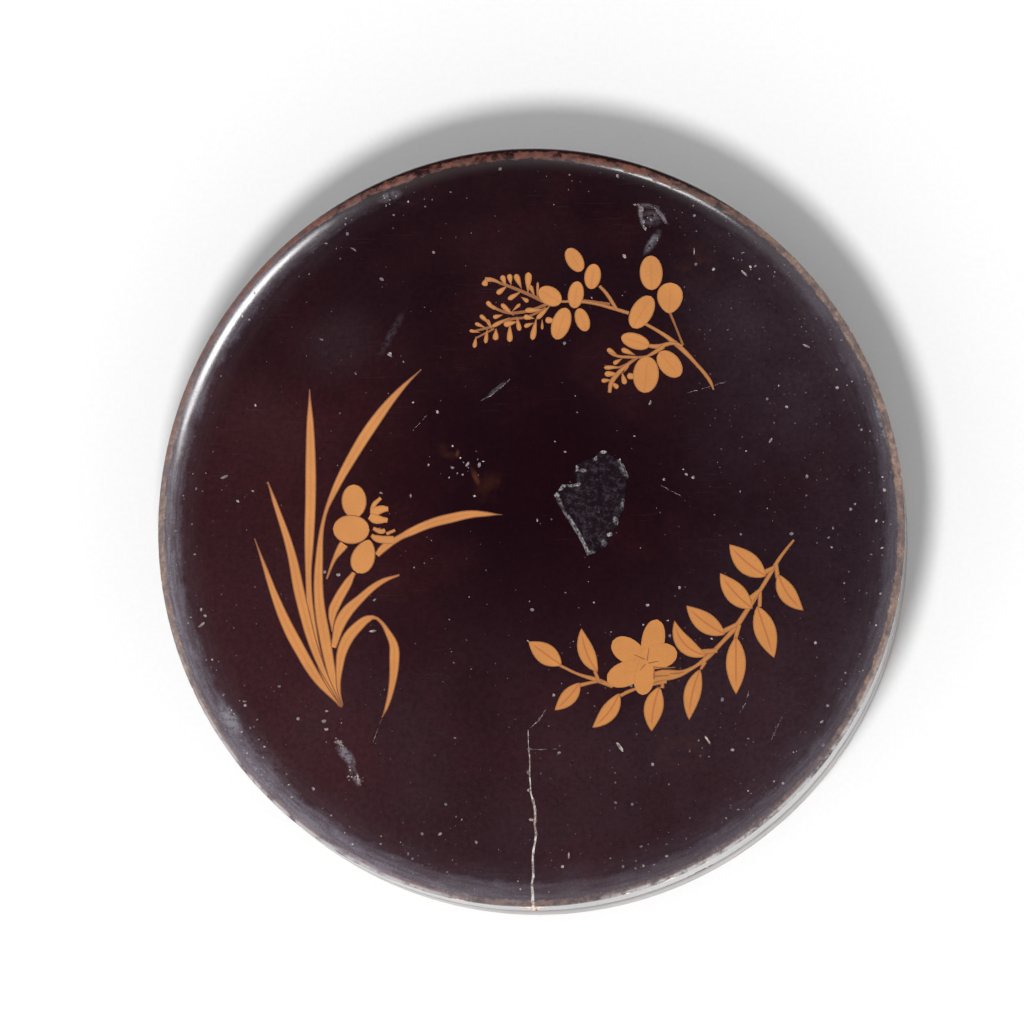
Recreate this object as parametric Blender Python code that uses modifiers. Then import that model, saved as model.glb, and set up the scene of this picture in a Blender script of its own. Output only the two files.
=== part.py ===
"""Round lacquer box with a lift-off lid.

The box is turned wood under lacquer, in two pieces: a body with a thin lip that stands up inside the joint
line, and a lid that drops over that lip. Lengths are in metres. The box's axis is the Z axis and it stands on
z = 0. +X and +Y are the right and the upper side of the picture on the lid.
"""

import math

import bpy
import bmesh

# Overall sizes of the closed box
OUTER_DIAMETER = 0.1200
TOTAL_HEIGHT = 0.0310
SEAM_HEIGHT = 0.0150

# Walls
LID_WALL = 0.0020
LIP_WALL = 0.0014
TOP_THICKNESS = 0.0026
FLOOR_THICKNESS = 0.0024

# The lip and how the lid fits over it
LIP_HEIGHT = 0.0045
LIP_CLEARANCE = 0.0003
TOUCH_GAP = 0.0003

# The lid's top: a slight dome, a rolled shoulder and a small arris above the side
CROWN_RISE = 0.0009
SHOULDER_WIDTH = 0.0040
SHOULDER_DROP = 0.0012
SHOULDER_ANGLE = math.radians(38.0)
ARRIS_RADIUS = 0.0007

# Small roundings
EDGE_EASE = 0.00025
INNER_FILLET = 0.0012
BOTTOM_EDGE_RADIUS = 0.0011

# The foot ring under the body
FOOT_HEIGHT = 0.0007
FOOT_WIDTH = 0.0030
FOOT_INSET = 0.0042

# The chip in the lid's lacquer, near its middle: its place on the lid, its depth and its broken outline
CHIP_PLACE = (0.0099, 0.0031)
CHIP_DEPTH = 0.0006
CHIP_OUTLINE = (
    (-0.0064, 0.0023), (-0.0052, 0.0042), (-0.0027, 0.0042), (-0.0029, 0.0068), (0.0002, 0.0082),
    (0.0016, 0.0093), (0.0037, 0.0087), (0.0053, 0.0069), (0.0055, 0.0047), (0.0047, 0.0006),
    (0.0035, -0.0021), (0.0019, -0.0052), (-0.0013, -0.0073), (-0.0023, -0.0039), (-0.0044, -0.0008),
)

# The crack in the lid, which runs from its start straight out to the front edge and down the lid's side:
# its start's distance from the axis, its half width there and at the edge, how far it wanders sideways and in
# how many waves
CRACK_START = 0.0323
CRACK_HALF_WIDTH_AT_START = 0.00012
CRACK_HALF_WIDTH_AT_EDGE = 0.00032
CRACK_SIDEWAYS = 0.0004
CRACK_WAVES = 3

# How finely the round shapes are cut
STEPS_ROUND = 96
STEPS_DOME = 5
STEPS_SHOULDER = 6
STEPS_ARRIS = 3
STEPS_FILLET = 4
STEPS_CRACK = 18
SMOOTH_ANGLE = math.radians(30.0)
MERGE = 0.00001

# Places that follow from the sizes
OUTER_RADIUS = OUTER_DIAMETER / 2.0
LID_INNER_RADIUS = OUTER_RADIUS - LID_WALL
LIP_OUTER_RADIUS = LID_INNER_RADIUS - LIP_CLEARANCE
BODY_INNER_RADIUS = LIP_OUTER_RADIUS - LIP_WALL
LID_RIM_HEIGHT = SEAM_HEIGHT + TOUCH_GAP
LIP_TOP = SEAM_HEIGHT + LIP_HEIGHT
FLOOR_TOP = FOOT_HEIGHT + FLOOR_THICKNESS
FIELD_RADIUS = OUTER_RADIUS - SHOULDER_WIDTH
FIELD_EDGE_HEIGHT = TOTAL_HEIGHT - CROWN_RISE
SHOULDER_FOOT_HEIGHT = FIELD_EDGE_HEIGHT - SHOULDER_DROP
DOME_RADIUS = (FIELD_RADIUS ** 2 + CROWN_RISE ** 2) / (2.0 * CROWN_RISE)
FOOT_OUTER_RADIUS = OUTER_RADIUS - FOOT_INSET
FOOT_INNER_RADIUS = FOOT_OUTER_RADIUS - FOOT_WIDTH


def arc(centre_r, centre_z, radius, start, end, steps):
    """Points on a round stretch of a profile, its angles counted up from the direction away from the axis."""
    points = []
    for i in range(steps + 1):
        angle = start + (end - start) * i / steps
        points.append((centre_r + radius * math.cos(angle), centre_z + radius * math.sin(angle)))
    return points


def dome_height(radius):
    """Height of the lid's slightly domed field at a distance from the axis."""
    return TOTAL_HEIGHT - DOME_RADIUS + math.sqrt(DOME_RADIUS ** 2 - radius ** 2)


def shoulder():
    """The rolled shoulder, which leaves the field level with it and ends steep at the arris."""
    field_slope = math.tan(math.asin(FIELD_RADIUS / DOME_RADIUS))
    foot_slope = math.tan(SHOULDER_ANGLE)
    start_r, start_z = FIELD_RADIUS, FIELD_EDGE_HEIGHT
    end_r = OUTER_RADIUS - ARRIS_RADIUS * (1.0 - math.sin(SHOULDER_ANGLE))
    end_z = SHOULDER_FOOT_HEIGHT
    bend_r = (foot_slope * end_r - field_slope * start_r - (start_z - end_z)) / (foot_slope - field_slope)
    bend_z = start_z - field_slope * (bend_r - start_r)
    points = []
    for i in range(1, STEPS_SHOULDER + 1):
        t = i / STEPS_SHOULDER
        a, b, c = (1.0 - t) ** 2, 2.0 * t * (1.0 - t), t ** 2
        points.append((a * start_r + b * bend_r + c * end_r, a * start_z + b * bend_z + c * end_z))
    return points


def arris_centre():
    """Centre of the arris' small rounding."""
    return OUTER_RADIUS - ARRIS_RADIUS, SHOULDER_FOOT_HEIGHT - ARRIS_RADIUS * math.cos(SHOULDER_ANGLE)


def lid_outside():
    """The lid's outside from the crown to the top of its side."""
    field = []
    for i in range(STEPS_DOME + 1):
        radius = FIELD_RADIUS * i / STEPS_DOME
        field.append((radius, dome_height(radius)))
    centre_r, centre_z = arris_centre()
    edge = arc(centre_r, centre_z, ARRIS_RADIUS, math.pi / 2 - SHOULDER_ANGLE, 0.0, STEPS_ARRIS)
    return field + shoulder() + edge[1:]


def lid_profile():
    """The whole lid, from the crown down its outer side, under its rim and up its inner side."""
    rim = [
        (OUTER_RADIUS, LID_RIM_HEIGHT + EDGE_EASE),
        (OUTER_RADIUS - EDGE_EASE, LID_RIM_HEIGHT),
        (LID_INNER_RADIUS + EDGE_EASE, LID_RIM_HEIGHT),
        (LID_INNER_RADIUS, LID_RIM_HEIGHT + EDGE_EASE),
    ]
    corner_r = LID_INNER_RADIUS - INNER_FILLET
    corner_z = dome_height(corner_r) - TOP_THICKNESS - INNER_FILLET
    corner = arc(corner_r, corner_z, INNER_FILLET, 0.0, math.pi / 2, STEPS_FILLET)
    ceiling = []
    for i in range(STEPS_DOME - 1, -1, -1):
        radius = corner_r * i / STEPS_DOME
        ceiling.append((radius, dome_height(radius) - TOP_THICKNESS))
    return lid_outside() + rim + corner + ceiling


def body_profile():
    """The whole body, from the middle of its floor up inside, over the lip and down its outer side."""
    floor_corner = arc(BODY_INNER_RADIUS - INNER_FILLET, FLOOR_TOP + INNER_FILLET, INNER_FILLET,
                       -math.pi / 2, 0.0, STEPS_FILLET)
    lip = [
        (BODY_INNER_RADIUS, LIP_TOP - EDGE_EASE),
        (BODY_INNER_RADIUS + EDGE_EASE, LIP_TOP),
        (LIP_OUTER_RADIUS - EDGE_EASE, LIP_TOP),
        (LIP_OUTER_RADIUS, LIP_TOP - EDGE_EASE),
        (LIP_OUTER_RADIUS, SEAM_HEIGHT),
        (OUTER_RADIUS - EDGE_EASE, SEAM_HEIGHT),
        (OUTER_RADIUS, SEAM_HEIGHT - EDGE_EASE),
    ]
    lower_edge = arc(OUTER_RADIUS - BOTTOM_EDGE_RADIUS, FOOT_HEIGHT + BOTTOM_EDGE_RADIUS, BOTTOM_EDGE_RADIUS,
                     0.0, -math.pi / 2, STEPS_FILLET)
    foot = [
        (FOOT_OUTER_RADIUS, FOOT_HEIGHT),
        (FOOT_OUTER_RADIUS, 0.0),
        (FOOT_INNER_RADIUS, 0.0),
        (FOOT_INNER_RADIUS, FOOT_HEIGHT),
    ]
    return [(0.0, FLOOR_TOP)] + floor_corner + lip + lower_edge + foot + [(0.0, FOOT_HEIGHT)]


def material(name, colour, roughness):
    """A lacquer with its colour and gloss."""
    result = bpy.data.materials.new(name)
    result.use_nodes = True
    shader = result.node_tree.nodes["Principled BSDF"]
    shader.inputs["Base Color"].default_value = (*colour, 1.0)
    shader.inputs["Roughness"].default_value = roughness
    shader.inputs["Metallic"].default_value = 0.0
    return result


def collection(name):
    """A new collection in the scene."""
    result = bpy.data.collections.new(name)
    bpy.context.scene.collection.children.link(result)
    return result


def turned(name, profile, group):
    """A turned piece: its profile, a chain of edges beside the axis, swept once round it."""
    mesh = bpy.data.meshes.new(name)
    edges = [(i, i + 1) for i in range(len(profile) - 1)]
    mesh.from_pydata([(r, 0.0, z) for r, z in profile], edges, [])
    result = bpy.data.objects.new(name, mesh)
    group.objects.link(result)
    screw = result.modifiers.new("turning", "SCREW")
    screw.axis = "Z"
    screw.steps = STEPS_ROUND
    screw.render_steps = STEPS_ROUND
    screw.use_merge_vertices = True
    screw.merge_threshold = MERGE
    screw.use_smooth_shade = True
    return result


def meshed(source, name, group):
    """A mesh object with the shape of a curve, which is removed; the loose caps are welded to the wall."""
    evaluated = source.evaluated_get(bpy.context.evaluated_depsgraph_get())
    mesh = bpy.data.meshes.new_from_object(evaluated)
    work = bmesh.new()
    work.from_mesh(mesh)
    bmesh.ops.remove_doubles(work, verts=work.verts, dist=MERGE)
    bmesh.ops.recalc_face_normals(work, faces=work.faces)
    work.to_mesh(mesh)
    work.free()
    result = bpy.data.objects.new(name, mesh)
    result.matrix_world = source.matrix_world.copy()
    group.objects.link(result)
    bpy.data.objects.remove(source)
    result.hide_render = True
    result.display_type = "WIRE"
    return result


def chip_cutter(group):
    """A flat block with the chip's outline, its underside at the chip's floor."""
    data = bpy.data.curves.new("chip_outline", "CURVE")
    data.dimensions = "2D"
    data.fill_mode = "BOTH"
    data.extrude = CHIP_DEPTH + CROWN_RISE
    spline = data.splines.new("POLY")
    spline.points.add(len(CHIP_OUTLINE) - 1)
    for point, (x, y) in zip(spline.points, CHIP_OUTLINE):
        point.co = (x, y, 0.0, 1.0)
    spline.use_cyclic_u = True
    outline = bpy.data.objects.new("chip_outline", data)
    group.objects.link(outline)
    chip_x, chip_y = CHIP_PLACE
    floor = dome_height(math.hypot(chip_x, chip_y)) - CHIP_DEPTH
    outline.location = (chip_x, chip_y, floor + data.extrude)
    bpy.context.view_layer.update()
    return meshed(outline, "chip_cutter", group)


def crack_path():
    """Points of the crack on the lid's outside, each with the crack's half width there.

    It runs from its start to the lid's rim. It keeps straight at first, wanders sideways over the middle and is
    straight again towards the edge. It turns the arris at one point, so that the groove doesn't cross itself.
    """
    path = []
    for i in range(STEPS_CRACK):
        share = i / STEPS_CRACK
        radius = CRACK_START + (FIELD_RADIUS - CRACK_START) * share
        wander = CRACK_SIDEWAYS * math.sin(CRACK_WAVES * 2.0 * math.pi * share) * math.sin(math.pi * share)
        path.append((wander, -radius, dome_height(radius)))
    path.append((0.0, -FIELD_RADIUS, FIELD_EDGE_HEIGHT))
    path += [(0.0, -radius, height) for radius, height in shoulder()[:-1]]
    path.append((0.0, -OUTER_RADIUS, arris_centre()[1] + ARRIS_RADIUS))
    path.append((0.0, -OUTER_RADIUS, LID_RIM_HEIGHT - CRACK_HALF_WIDTH_AT_EDGE))
    growth = CRACK_HALF_WIDTH_AT_EDGE - CRACK_HALF_WIDTH_AT_START
    widths = []
    for _, y, _ in path:
        share = (-y - CRACK_START) / (OUTER_RADIUS - CRACK_START)
        widths.append(CRACK_HALF_WIDTH_AT_START + growth * share)
    return path, widths


def crack_cutter(group):
    """A thin tapered rod that lies along the crack and leaves a half-round groove."""
    path, widths = crack_path()
    data = bpy.data.curves.new("crack_line", "CURVE")
    data.dimensions = "3D"
    data.bevel_depth = 1.0
    data.bevel_resolution = 0
    data.use_fill_caps = True
    spline = data.splines.new("POLY")
    spline.points.add(len(path) - 1)
    for point, place, width in zip(spline.points, path, widths):
        point.co = (*place, 1.0)
        point.radius = width
    line = bpy.data.objects.new("crack_line", data)
    group.objects.link(line)
    bpy.context.view_layer.update()
    return meshed(line, "crack_cutter", group)


def cut(target, cutter, name):
    """Takes a cutter's shape out of a piece."""
    boolean = target.modifiers.new(name, "BOOLEAN")
    boolean.operation = "DIFFERENCE"
    boolean.solver = "EXACT"
    boolean.object = cutter


def settled(piece, finish):
    """Keeps a piece's finished shape as its mesh, shaded smooth up to its real edges, in its own material."""
    bpy.context.view_layer.update()
    evaluated = piece.evaluated_get(bpy.context.evaluated_depsgraph_get())
    mesh = bpy.data.meshes.new_from_object(evaluated)
    piece.modifiers.clear()
    piece.data = mesh
    mesh.name = piece.name
    mesh.shade_smooth()
    mesh.set_sharp_from_angle(angle=SMOOTH_ANGLE)
    mesh.materials.clear()
    mesh.materials.append(finish)


def main():
    """Builds the body and the lid, and cuts the chip and the crack into the lid."""
    for thing in list(bpy.data.objects):
        bpy.data.objects.remove(thing)
    box = collection("round_lacquer_box")
    cutters = collection("cutters")

    body = turned("box_body", body_profile(), box)
    lid = turned("lid", lid_profile(), box)
    cut(lid, chip_cutter(cutters), "chip")
    cut(lid, crack_cutter(cutters), "crack")

    settled(body, material("brown-black lacquer of the body", (0.014, 0.006, 0.007), 0.18))
    settled(lid, material("brown-black lacquer of the lid", (0.016, 0.006, 0.008), 0.15))


main()
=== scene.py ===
"""The looks of a round lacquer box with a lift-off lid: worn dark lacquer and three sprays of sprinkled gold.

Lengths are in metres, and lists of places on the lid are in millimetres from the box's axis, x to the right and
y up as the lid's picture is seen from above.
"""
import math
import random
from functools import partial

import bpy
from bpy.props import FloatProperty, FloatVectorProperty, IntProperty, PointerProperty
from mathutils import Matrix, Vector


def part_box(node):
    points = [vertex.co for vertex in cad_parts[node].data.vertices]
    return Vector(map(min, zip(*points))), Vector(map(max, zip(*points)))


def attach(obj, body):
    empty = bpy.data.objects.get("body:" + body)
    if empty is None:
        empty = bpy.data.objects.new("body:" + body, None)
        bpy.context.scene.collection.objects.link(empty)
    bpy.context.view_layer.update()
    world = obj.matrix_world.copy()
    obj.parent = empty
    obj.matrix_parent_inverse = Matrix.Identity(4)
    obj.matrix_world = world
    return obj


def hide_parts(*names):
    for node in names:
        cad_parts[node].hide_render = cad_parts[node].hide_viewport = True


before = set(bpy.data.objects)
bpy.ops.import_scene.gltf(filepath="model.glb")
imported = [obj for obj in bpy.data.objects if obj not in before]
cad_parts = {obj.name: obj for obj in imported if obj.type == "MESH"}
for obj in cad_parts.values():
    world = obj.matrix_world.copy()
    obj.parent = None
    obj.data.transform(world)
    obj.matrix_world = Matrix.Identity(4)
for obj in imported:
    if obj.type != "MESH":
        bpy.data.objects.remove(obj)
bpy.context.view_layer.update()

bl_info = {
    "name": "Lacquer Box",
    "version": (1, 0, 0),
    "blender": (4, 5, 0),
    "location": "View3D > Sidebar > Lacquer Box",
    "description": "Turns and finishes a round lacquer box with gold sprays on its lid",
    "category": "Add Mesh",
}

MM = 0.001
ROOT = "root"
BODY_LOW, BODY_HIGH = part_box("box_body")
LID_LOW, LID_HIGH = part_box("lid")


def linear(hex_colour):
    """An sRGB hex colour as linear red, green and blue."""
    parts = [int(hex_colour[i:i + 2], 16) / 255.0 for i in (1, 3, 5)]
    return tuple(c / 12.92 if c <= 0.04045 else ((c + 0.055) / 1.055) ** 2.4 for c in parts)


def length(name, description, default):
    """A length that a user may change."""
    return FloatProperty(name=name, description=description, default=default, min=0.0, unit="LENGTH",
                         subtype="DISTANCE", precision=5)


def angle(name, description, degrees):
    """An angle that a user may change."""
    return FloatProperty(name=name, description=description, default=math.radians(degrees), unit="ROTATION",
                         subtype="ANGLE")


def share(name, description, default):
    """A share of a length, up to the 3 % that the drawn box may differ from the one measured."""
    return FloatProperty(name=name, description=description, default=default, min=0.0, max=0.03, precision=4)


def power(name, description, default):
    """The power or the brightness of a light."""
    return FloatProperty(name=name, description=description, default=default, min=0.0)


def colour(name, description, hex_colour):
    """A colour that a user may change."""
    return FloatVectorProperty(name=name, description=description, default=linear(hex_colour), min=0.0, max=1.0,
                               size=3, subtype="COLOR")


class LacquerBoxSizes(bpy.types.PropertyGroup):
    """Sizes of the turned pieces, of the damage on the lid and of the gold."""

    outer_diameter: length("Outer diameter", "Across the closed box", LID_HIGH.x - LID_LOW.x)
    total_height: length("Total height", "From the floor to the lid's crown", LID_HIGH.z)
    seam_height: length("Seam height", "Where the body's wall ends under the lid", 0.0150)
    lid_rim_height: length("Lid rim height", "Underside of the closed lid's wall", LID_LOW.z)
    lip_top: length("Lip top", "Top of the thin lip inside the seam", BODY_HIGH.z)
    lid_wall: length("Lid wall", "Thickness of the lid's side", 0.0020)
    lip_wall: length("Lip wall", "Thickness of the lip", 0.0014)
    lip_clearance: length("Lip clearance", "Gap between the lip and the lid", 0.0003)
    top_thickness: length("Top thickness", "Thickness of the lid's top", 0.0026)
    floor_thickness: length("Floor thickness", "Thickness of the body's floor", 0.0024)
    crown_rise: length("Crown rise", "How far the lid's field is domed", 0.0009)
    shoulder_width: length("Shoulder width", "From the field's edge to the box's side", 0.0040)
    shoulder_drop: length("Shoulder drop", "How far the rolled shoulder falls", 0.0012)
    shoulder_angle: angle("Shoulder angle", "Slope of the shoulder where it meets the arris", 38.0)
    arris_radius: length("Arris radius", "Rounding between the shoulder and the side", 0.0007)
    edge_ease: length("Edge ease", "Small rounding of the wall's edges", 0.00025)
    inner_fillet: length("Inner fillet", "Rounding inside, between wall and top or floor", 0.0012)
    bottom_edge_radius: length("Bottom edge radius", "Rounding of the body's lower edge", 0.0011)
    foot_height: length("Foot height", "Height of the ring under the body", 0.0007)
    foot_width: length("Foot width", "Width of the ring under the body", 0.0030)
    foot_inset: length("Foot inset", "From the box's side to the foot ring", 0.0042)
    gold_rise: length("Gold rise", "How far the sprinkled gold stands above the lacquer", 0.00005)
    gold_layer: length("Gold layer", "How far one stroke of gold lies above the one before it", 0.0000012)
    gold_body: length("Gold body", "Thickness of the gold layer, part of it in the lacquer", 0.00018)
    fleck_rise: length("Fleck rise", "How far a bare fleck's broken skin stands above the lacquer", 0.000015)
    fleck_body: length("Fleck body", "Thickness of a fleck, most of it in the lacquer", 0.00006)
    oval_back: share("Oval at the back", "How far the old wood has drawn out of round towards +Y", 0.0244)
    oval_front: share("Oval at the front", "The same towards -Y", 0.0107)
    steps_round: IntProperty(name="Steps round", description="Facets round the turned pieces", default=256, min=48)


class LacquerBoxFinishes(bpy.types.PropertyGroup):
    """Colours of the lacquer, the gold and the worn places."""

    lacquer_dark: colour("Dark lacquer", "Aged black lacquer", "#17040b")
    lacquer_red: colour("Red-brown lacquer", "Where the lacquer has turned reddish", "#351517")
    # On the lid this also paints the sheen of the gloss's reflection over the field
    lacquer_haze_and_sheen: colour("Hazy lacquer", "Where the lacquer's skin has bloomed and greyed", "#30242a")
    lacquer_rust: colour("Rust tint", "Warm brown stains in the lacquer", "#6b3f24")
    undercoat: colour("Undercoat", "Red-brown undercoat bared at the arris", "#6e3522")
    undercoat_dusty: colour("Dusty undercoat", "The same, grey with dust", "#8c7265")
    # Also paints the shoulder's sheen where it mirrors the pale surround, beside real dust
    dust_and_sheen_grey: colour("Dust", "Grey wear in the lacquer's skin", "#655e68")
    # Also the colour of two painted highlight lines on the rim
    film_and_glint: colour("Film", "Bluish grey left where the skin was rubbed", "#85828c")
    ground: colour("Ground", "Pale ground at broken edges and flecks", "#b5a99f")
    ground_grey: colour("Grey ground", "The same, stained grey", "#5c535a")
    crack_ground: colour("Crack ground", "Pale ground in the crack", "#cfc8c4")
    # Also the colour of the painted highlight on the front of the arris
    fresh_break_and_highlight: colour("Fresh break", "Grey where the chip has broken cleanly", "#b6b3b5")
    ground_dark: colour("Dark ground", "Stained ground in the chip", "#140911")
    ground_warm: colour("Warm ground", "Ground stained warm in patches", "#a8846f")
    ground_dry: colour("Dry ground", "Dry ground in the chip", "#3a3037")
    crack_stain: colour("Crack stain", "Stained ground in the crack", "#63554f")
    flake_orange: colour("Flaked undercoat", "Orange undercoat where the edges have flaked", "#d08a5e")
    flake_pale: colour("Flaked ground", "Pale ground where the edges have flaked", "#f2e4da")
    gold: colour("Gold", "Sprinkled gold powder under clear lacquer", "#bd7c3f")
    vein: colour("Vein", "Orange lines down the middle of the leaves", "#a85a30")
    outline: colour("Outline", "Brown lines along the edges of the gold", "#6a3820")
    paper: colour("Studio paper", "Pale floor of the studio", "#f4f4f4")


class LacquerBoxStudio(bpy.types.PropertyGroup):
    """The camera and the lights."""

    camera_tilt: angle("Camera tilt", "From straight down", 5.63)
    camera_towards: angle("Camera towards", "Which side of the box the camera leans to", 300.2)
    camera_distance: length("Camera distance", "From the lid to the camera", 1.742)
    camera_lens: FloatProperty(name="Lens", description="Focal length in millimetres", default=381.8,
                               subtype="DISTANCE_CAMERA")
    key_power: power("Key power", "Watts of the soft key light", 3.2)
    sky: power("Surround", "Brightness of the pale surround", 1.04)
    shoulder_power: power("Shoulder light power", "Watts of the light mirrored only in the shoulder", 9.4)
    shoulder_power_far: power("Far shoulder light power", "The same for the lesser one", 1.5)


def sizes():
    """The box's sizes."""
    return bpy.context.scene.lacquer_box_sizes


def finishes():
    """The box's colours."""
    return bpy.context.scene.lacquer_box_finishes


def studio():
    """The camera's and the lights' values."""
    return bpy.context.scene.lacquer_box_studio


# Shapes of the turned pieces


def arc(centre, radius, start, end, steps):
    """Points of a round stretch of a profile, from one angle to another."""
    angles = [start + (end - start) * i / steps for i in range(steps + 1)]
    return [(centre[0] + radius * math.cos(a), centre[1] + radius * math.sin(a)) for a in angles]


def dome_radius():
    """Radius of the sphere that the lid's field is part of."""
    s = sizes()
    field = s.outer_diameter / 2 - s.shoulder_width
    return (field ** 2 + s.crown_rise ** 2) / (2 * s.crown_rise)


def dome_height(radius):
    """Height of the lid's field at a distance from the axis."""
    return sizes().total_height - dome_radius() + math.sqrt(dome_radius() ** 2 - radius ** 2)


def shoulder_foot():
    """Where the shoulder ends and the arris begins."""
    s = sizes()
    return (s.outer_diameter / 2 - s.arris_radius * (1 - math.sin(s.shoulder_angle)),
            s.total_height - s.crown_rise - s.shoulder_drop)


def shoulder(steps):
    """The rolled shoulder, level with the field where it starts and steep where it ends."""
    s = sizes()
    start = (s.outer_diameter / 2 - s.shoulder_width, s.total_height - s.crown_rise)
    end = shoulder_foot()
    slope_in = math.tan(math.asin(start[0] / dome_radius()))
    slope_out = math.tan(s.shoulder_angle)
    bend_r = (slope_out * end[0] - slope_in * start[0] - (start[1] - end[1])) / (slope_out - slope_in)
    bend = (bend_r, start[1] - slope_in * (bend_r - start[0]))
    points = []
    for i in range(1, steps + 1):
        t = i / steps
        points.append(tuple((1 - t) ** 2 * start[k] + 2 * t * (1 - t) * bend[k] + t ** 2 * end[k] for k in (0, 1)))
    return points


def lid_height(x, y):
    """Height of the lid's skin over a place in millimetres, with the oval that the wood has taken undone."""
    s = sizes()
    radius = math.hypot(x, y / (1 + (s.oval_back if y > 0 else s.oval_front))) * MM
    field = s.outer_diameter / 2 - s.shoulder_width
    if radius <= field:
        return dome_height(radius)
    line = [(field, dome_height(field))] + shoulder(14)
    for (r_in, z_in), (r_out, z_out) in zip(line, line[1:]):
        if radius <= r_out:
            return z_in + (z_out - z_in) * (radius - r_in) / (r_out - r_in)
    return line[-1][1]


def lid_profile():
    """The lid from its crown down the outer side, under its rim and up inside."""
    s = sizes()
    outer = s.outer_diameter / 2
    inner = outer - s.lid_wall
    field = outer - s.shoulder_width
    foot_z = shoulder_foot()[1]
    centre = (outer - s.arris_radius, foot_z - s.arris_radius * math.cos(s.shoulder_angle))
    top = [(field * i / 14, dome_height(field * i / 14)) for i in range(15)]
    edge = arc(centre, s.arris_radius, math.pi / 2 - s.shoulder_angle, 0.0, 8)
    side = [(outer, s.lid_rim_height + (centre[1] - s.lid_rim_height) * k) for k in (0.75, 0.5, 0.25)]
    ease = s.edge_ease
    rim = arc((outer - ease, s.lid_rim_height + ease), ease, 0.0, -math.pi / 2, 3)
    rim += arc((inner + ease, s.lid_rim_height + ease), ease, -math.pi / 2, -math.pi, 3)
    corner_r = inner - s.inner_fillet
    corner_z = dome_height(corner_r) - s.top_thickness - s.inner_fillet
    corner = arc((corner_r, corner_z), s.inner_fillet, 0.0, math.pi / 2, 6)
    ceiling = [(corner_r * i / 6, dome_height(corner_r * i / 6) - s.top_thickness) for i in range(5, -1, -1)]
    return top + shoulder(14) + edge[1:] + side + rim + corner + ceiling


def body_profile():
    """The body from the middle of its floor up inside, over the lip, down outside and under the foot ring."""
    s = sizes()
    outer = s.outer_diameter / 2
    lip_outer = outer - s.lid_wall - s.lip_clearance
    inner = lip_outer - s.lip_wall
    floor_top = s.foot_height + s.floor_thickness
    ease = s.edge_ease
    points = [(inner * 0.92 * i / 5, floor_top) for i in range(6)]
    points += arc((inner - s.inner_fillet, floor_top + s.inner_fillet), s.inner_fillet, -math.pi / 2, 0.0, 6)
    points += arc((inner + ease, s.lip_top - ease), ease, math.pi, math.pi / 2, 3)
    points += arc((lip_outer - ease, s.lip_top - ease), ease, math.pi / 2, 0.0, 3)
    points += [(lip_outer, s.seam_height)]
    points += arc((outer - ease, s.seam_height - ease), ease, math.pi / 2, 0.0, 3)
    points += [(outer, s.seam_height * 0.5)]
    points += arc((outer - s.bottom_edge_radius, s.foot_height + s.bottom_edge_radius), s.bottom_edge_radius,
                  0.0, -math.pi / 2, 8)
    foot_outer = outer - s.foot_inset
    foot_inner = foot_outer - s.foot_width
    points += [(foot_outer, s.foot_height)]
    points += arc((foot_outer - ease, ease), ease, 0.0, -math.pi / 2, 3)
    points += arc((foot_inner + ease, ease), ease, -math.pi / 2, -math.pi, 3)
    points += [(foot_inner, s.foot_height), (0.0, s.foot_height)]
    return points


# Modelling steps


def mode(name):
    """Starts or ends the editing of the active object."""
    bpy.ops.object.mode_set(mode=name)


def deselect():
    """Nothing is selected and no mesh is being edited."""
    if bpy.context.object and bpy.context.object.mode != "OBJECT":
        mode("OBJECT")
    bpy.ops.object.select_all(action="DESELECT")


def everything():
    """Selects all of the mesh that is being edited."""
    bpy.ops.mesh.select_all(action="SELECT")


def welded(distance):
    """Welds the mesh that is being edited, turns its faces outwards and ends the editing."""
    everything()
    bpy.ops.mesh.remove_doubles(threshold=distance)
    bpy.ops.mesh.normals_make_consistent(inside=False)
    mode("OBJECT")


def only(*objects):
    """Selects these objects alone, the first of them active."""
    deselect()
    for thing in objects:
        thing.select_set(True)
    bpy.context.view_layer.objects.active = objects[0]


def drawn(name, points):
    """A chain of edges drawn point by point from one vertex, left in edit mode with its end selected."""
    deselect()
    bpy.ops.mesh.primitive_plane_add(size=MM)
    chain = bpy.context.object
    chain.name = name
    mode("EDIT")
    bpy.ops.mesh.merge(type="CENTER")
    bpy.ops.transform.translate(value=points[0])
    for here, there in zip(points, points[1:]):
        step = tuple(b - a for a, b in zip(here, there))
        bpy.ops.mesh.extrude_vertices_move(TRANSFORM_OT_translate={"value": step})
    return chain


def turned(name, profile):
    """A turned piece: its profile spun once round the axis, its seam and poles welded."""
    piece = drawn(name, [(r, 0.0, z) for r, z in profile])
    everything()
    bpy.ops.mesh.spin(steps=sizes().steps_round, angle=2 * math.pi, center=(0, 0, 0), axis=(0, 0, 1))
    welded(MM / 500)
    return piece


def drawn_out(piece):
    """Draws a turned piece slightly out of round, each half by its own share, as old wood moves."""
    s = sizes()
    for low, high, stretch in ((0.0, 1.0, s.oval_back), (-1.0, 0.0, s.oval_front)):
        only(piece)
        mode("EDIT")
        bpy.ops.mesh.select_mode(type="VERT")
        bpy.ops.mesh.select_all(action="DESELECT")
        mode("OBJECT")
        for vertex in piece.data.vertices:
            vertex.select = low < vertex.co.y < high
        mode("EDIT")
        bpy.ops.transform.resize(value=(1, 1 + stretch, 1), center_override=(0, 0, 0))
        mode("OBJECT")


def applied(piece, kind, **settings):
    """Adds a modifier with its settings and applies it."""
    only(piece)
    bpy.ops.object.modifier_add(type=kind)
    modifier = piece.modifiers[-1]
    for key, value in settings.items():
        setattr(modifier, key, value)
    bpy.ops.object.modifier_apply(modifier=modifier.name)


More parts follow.
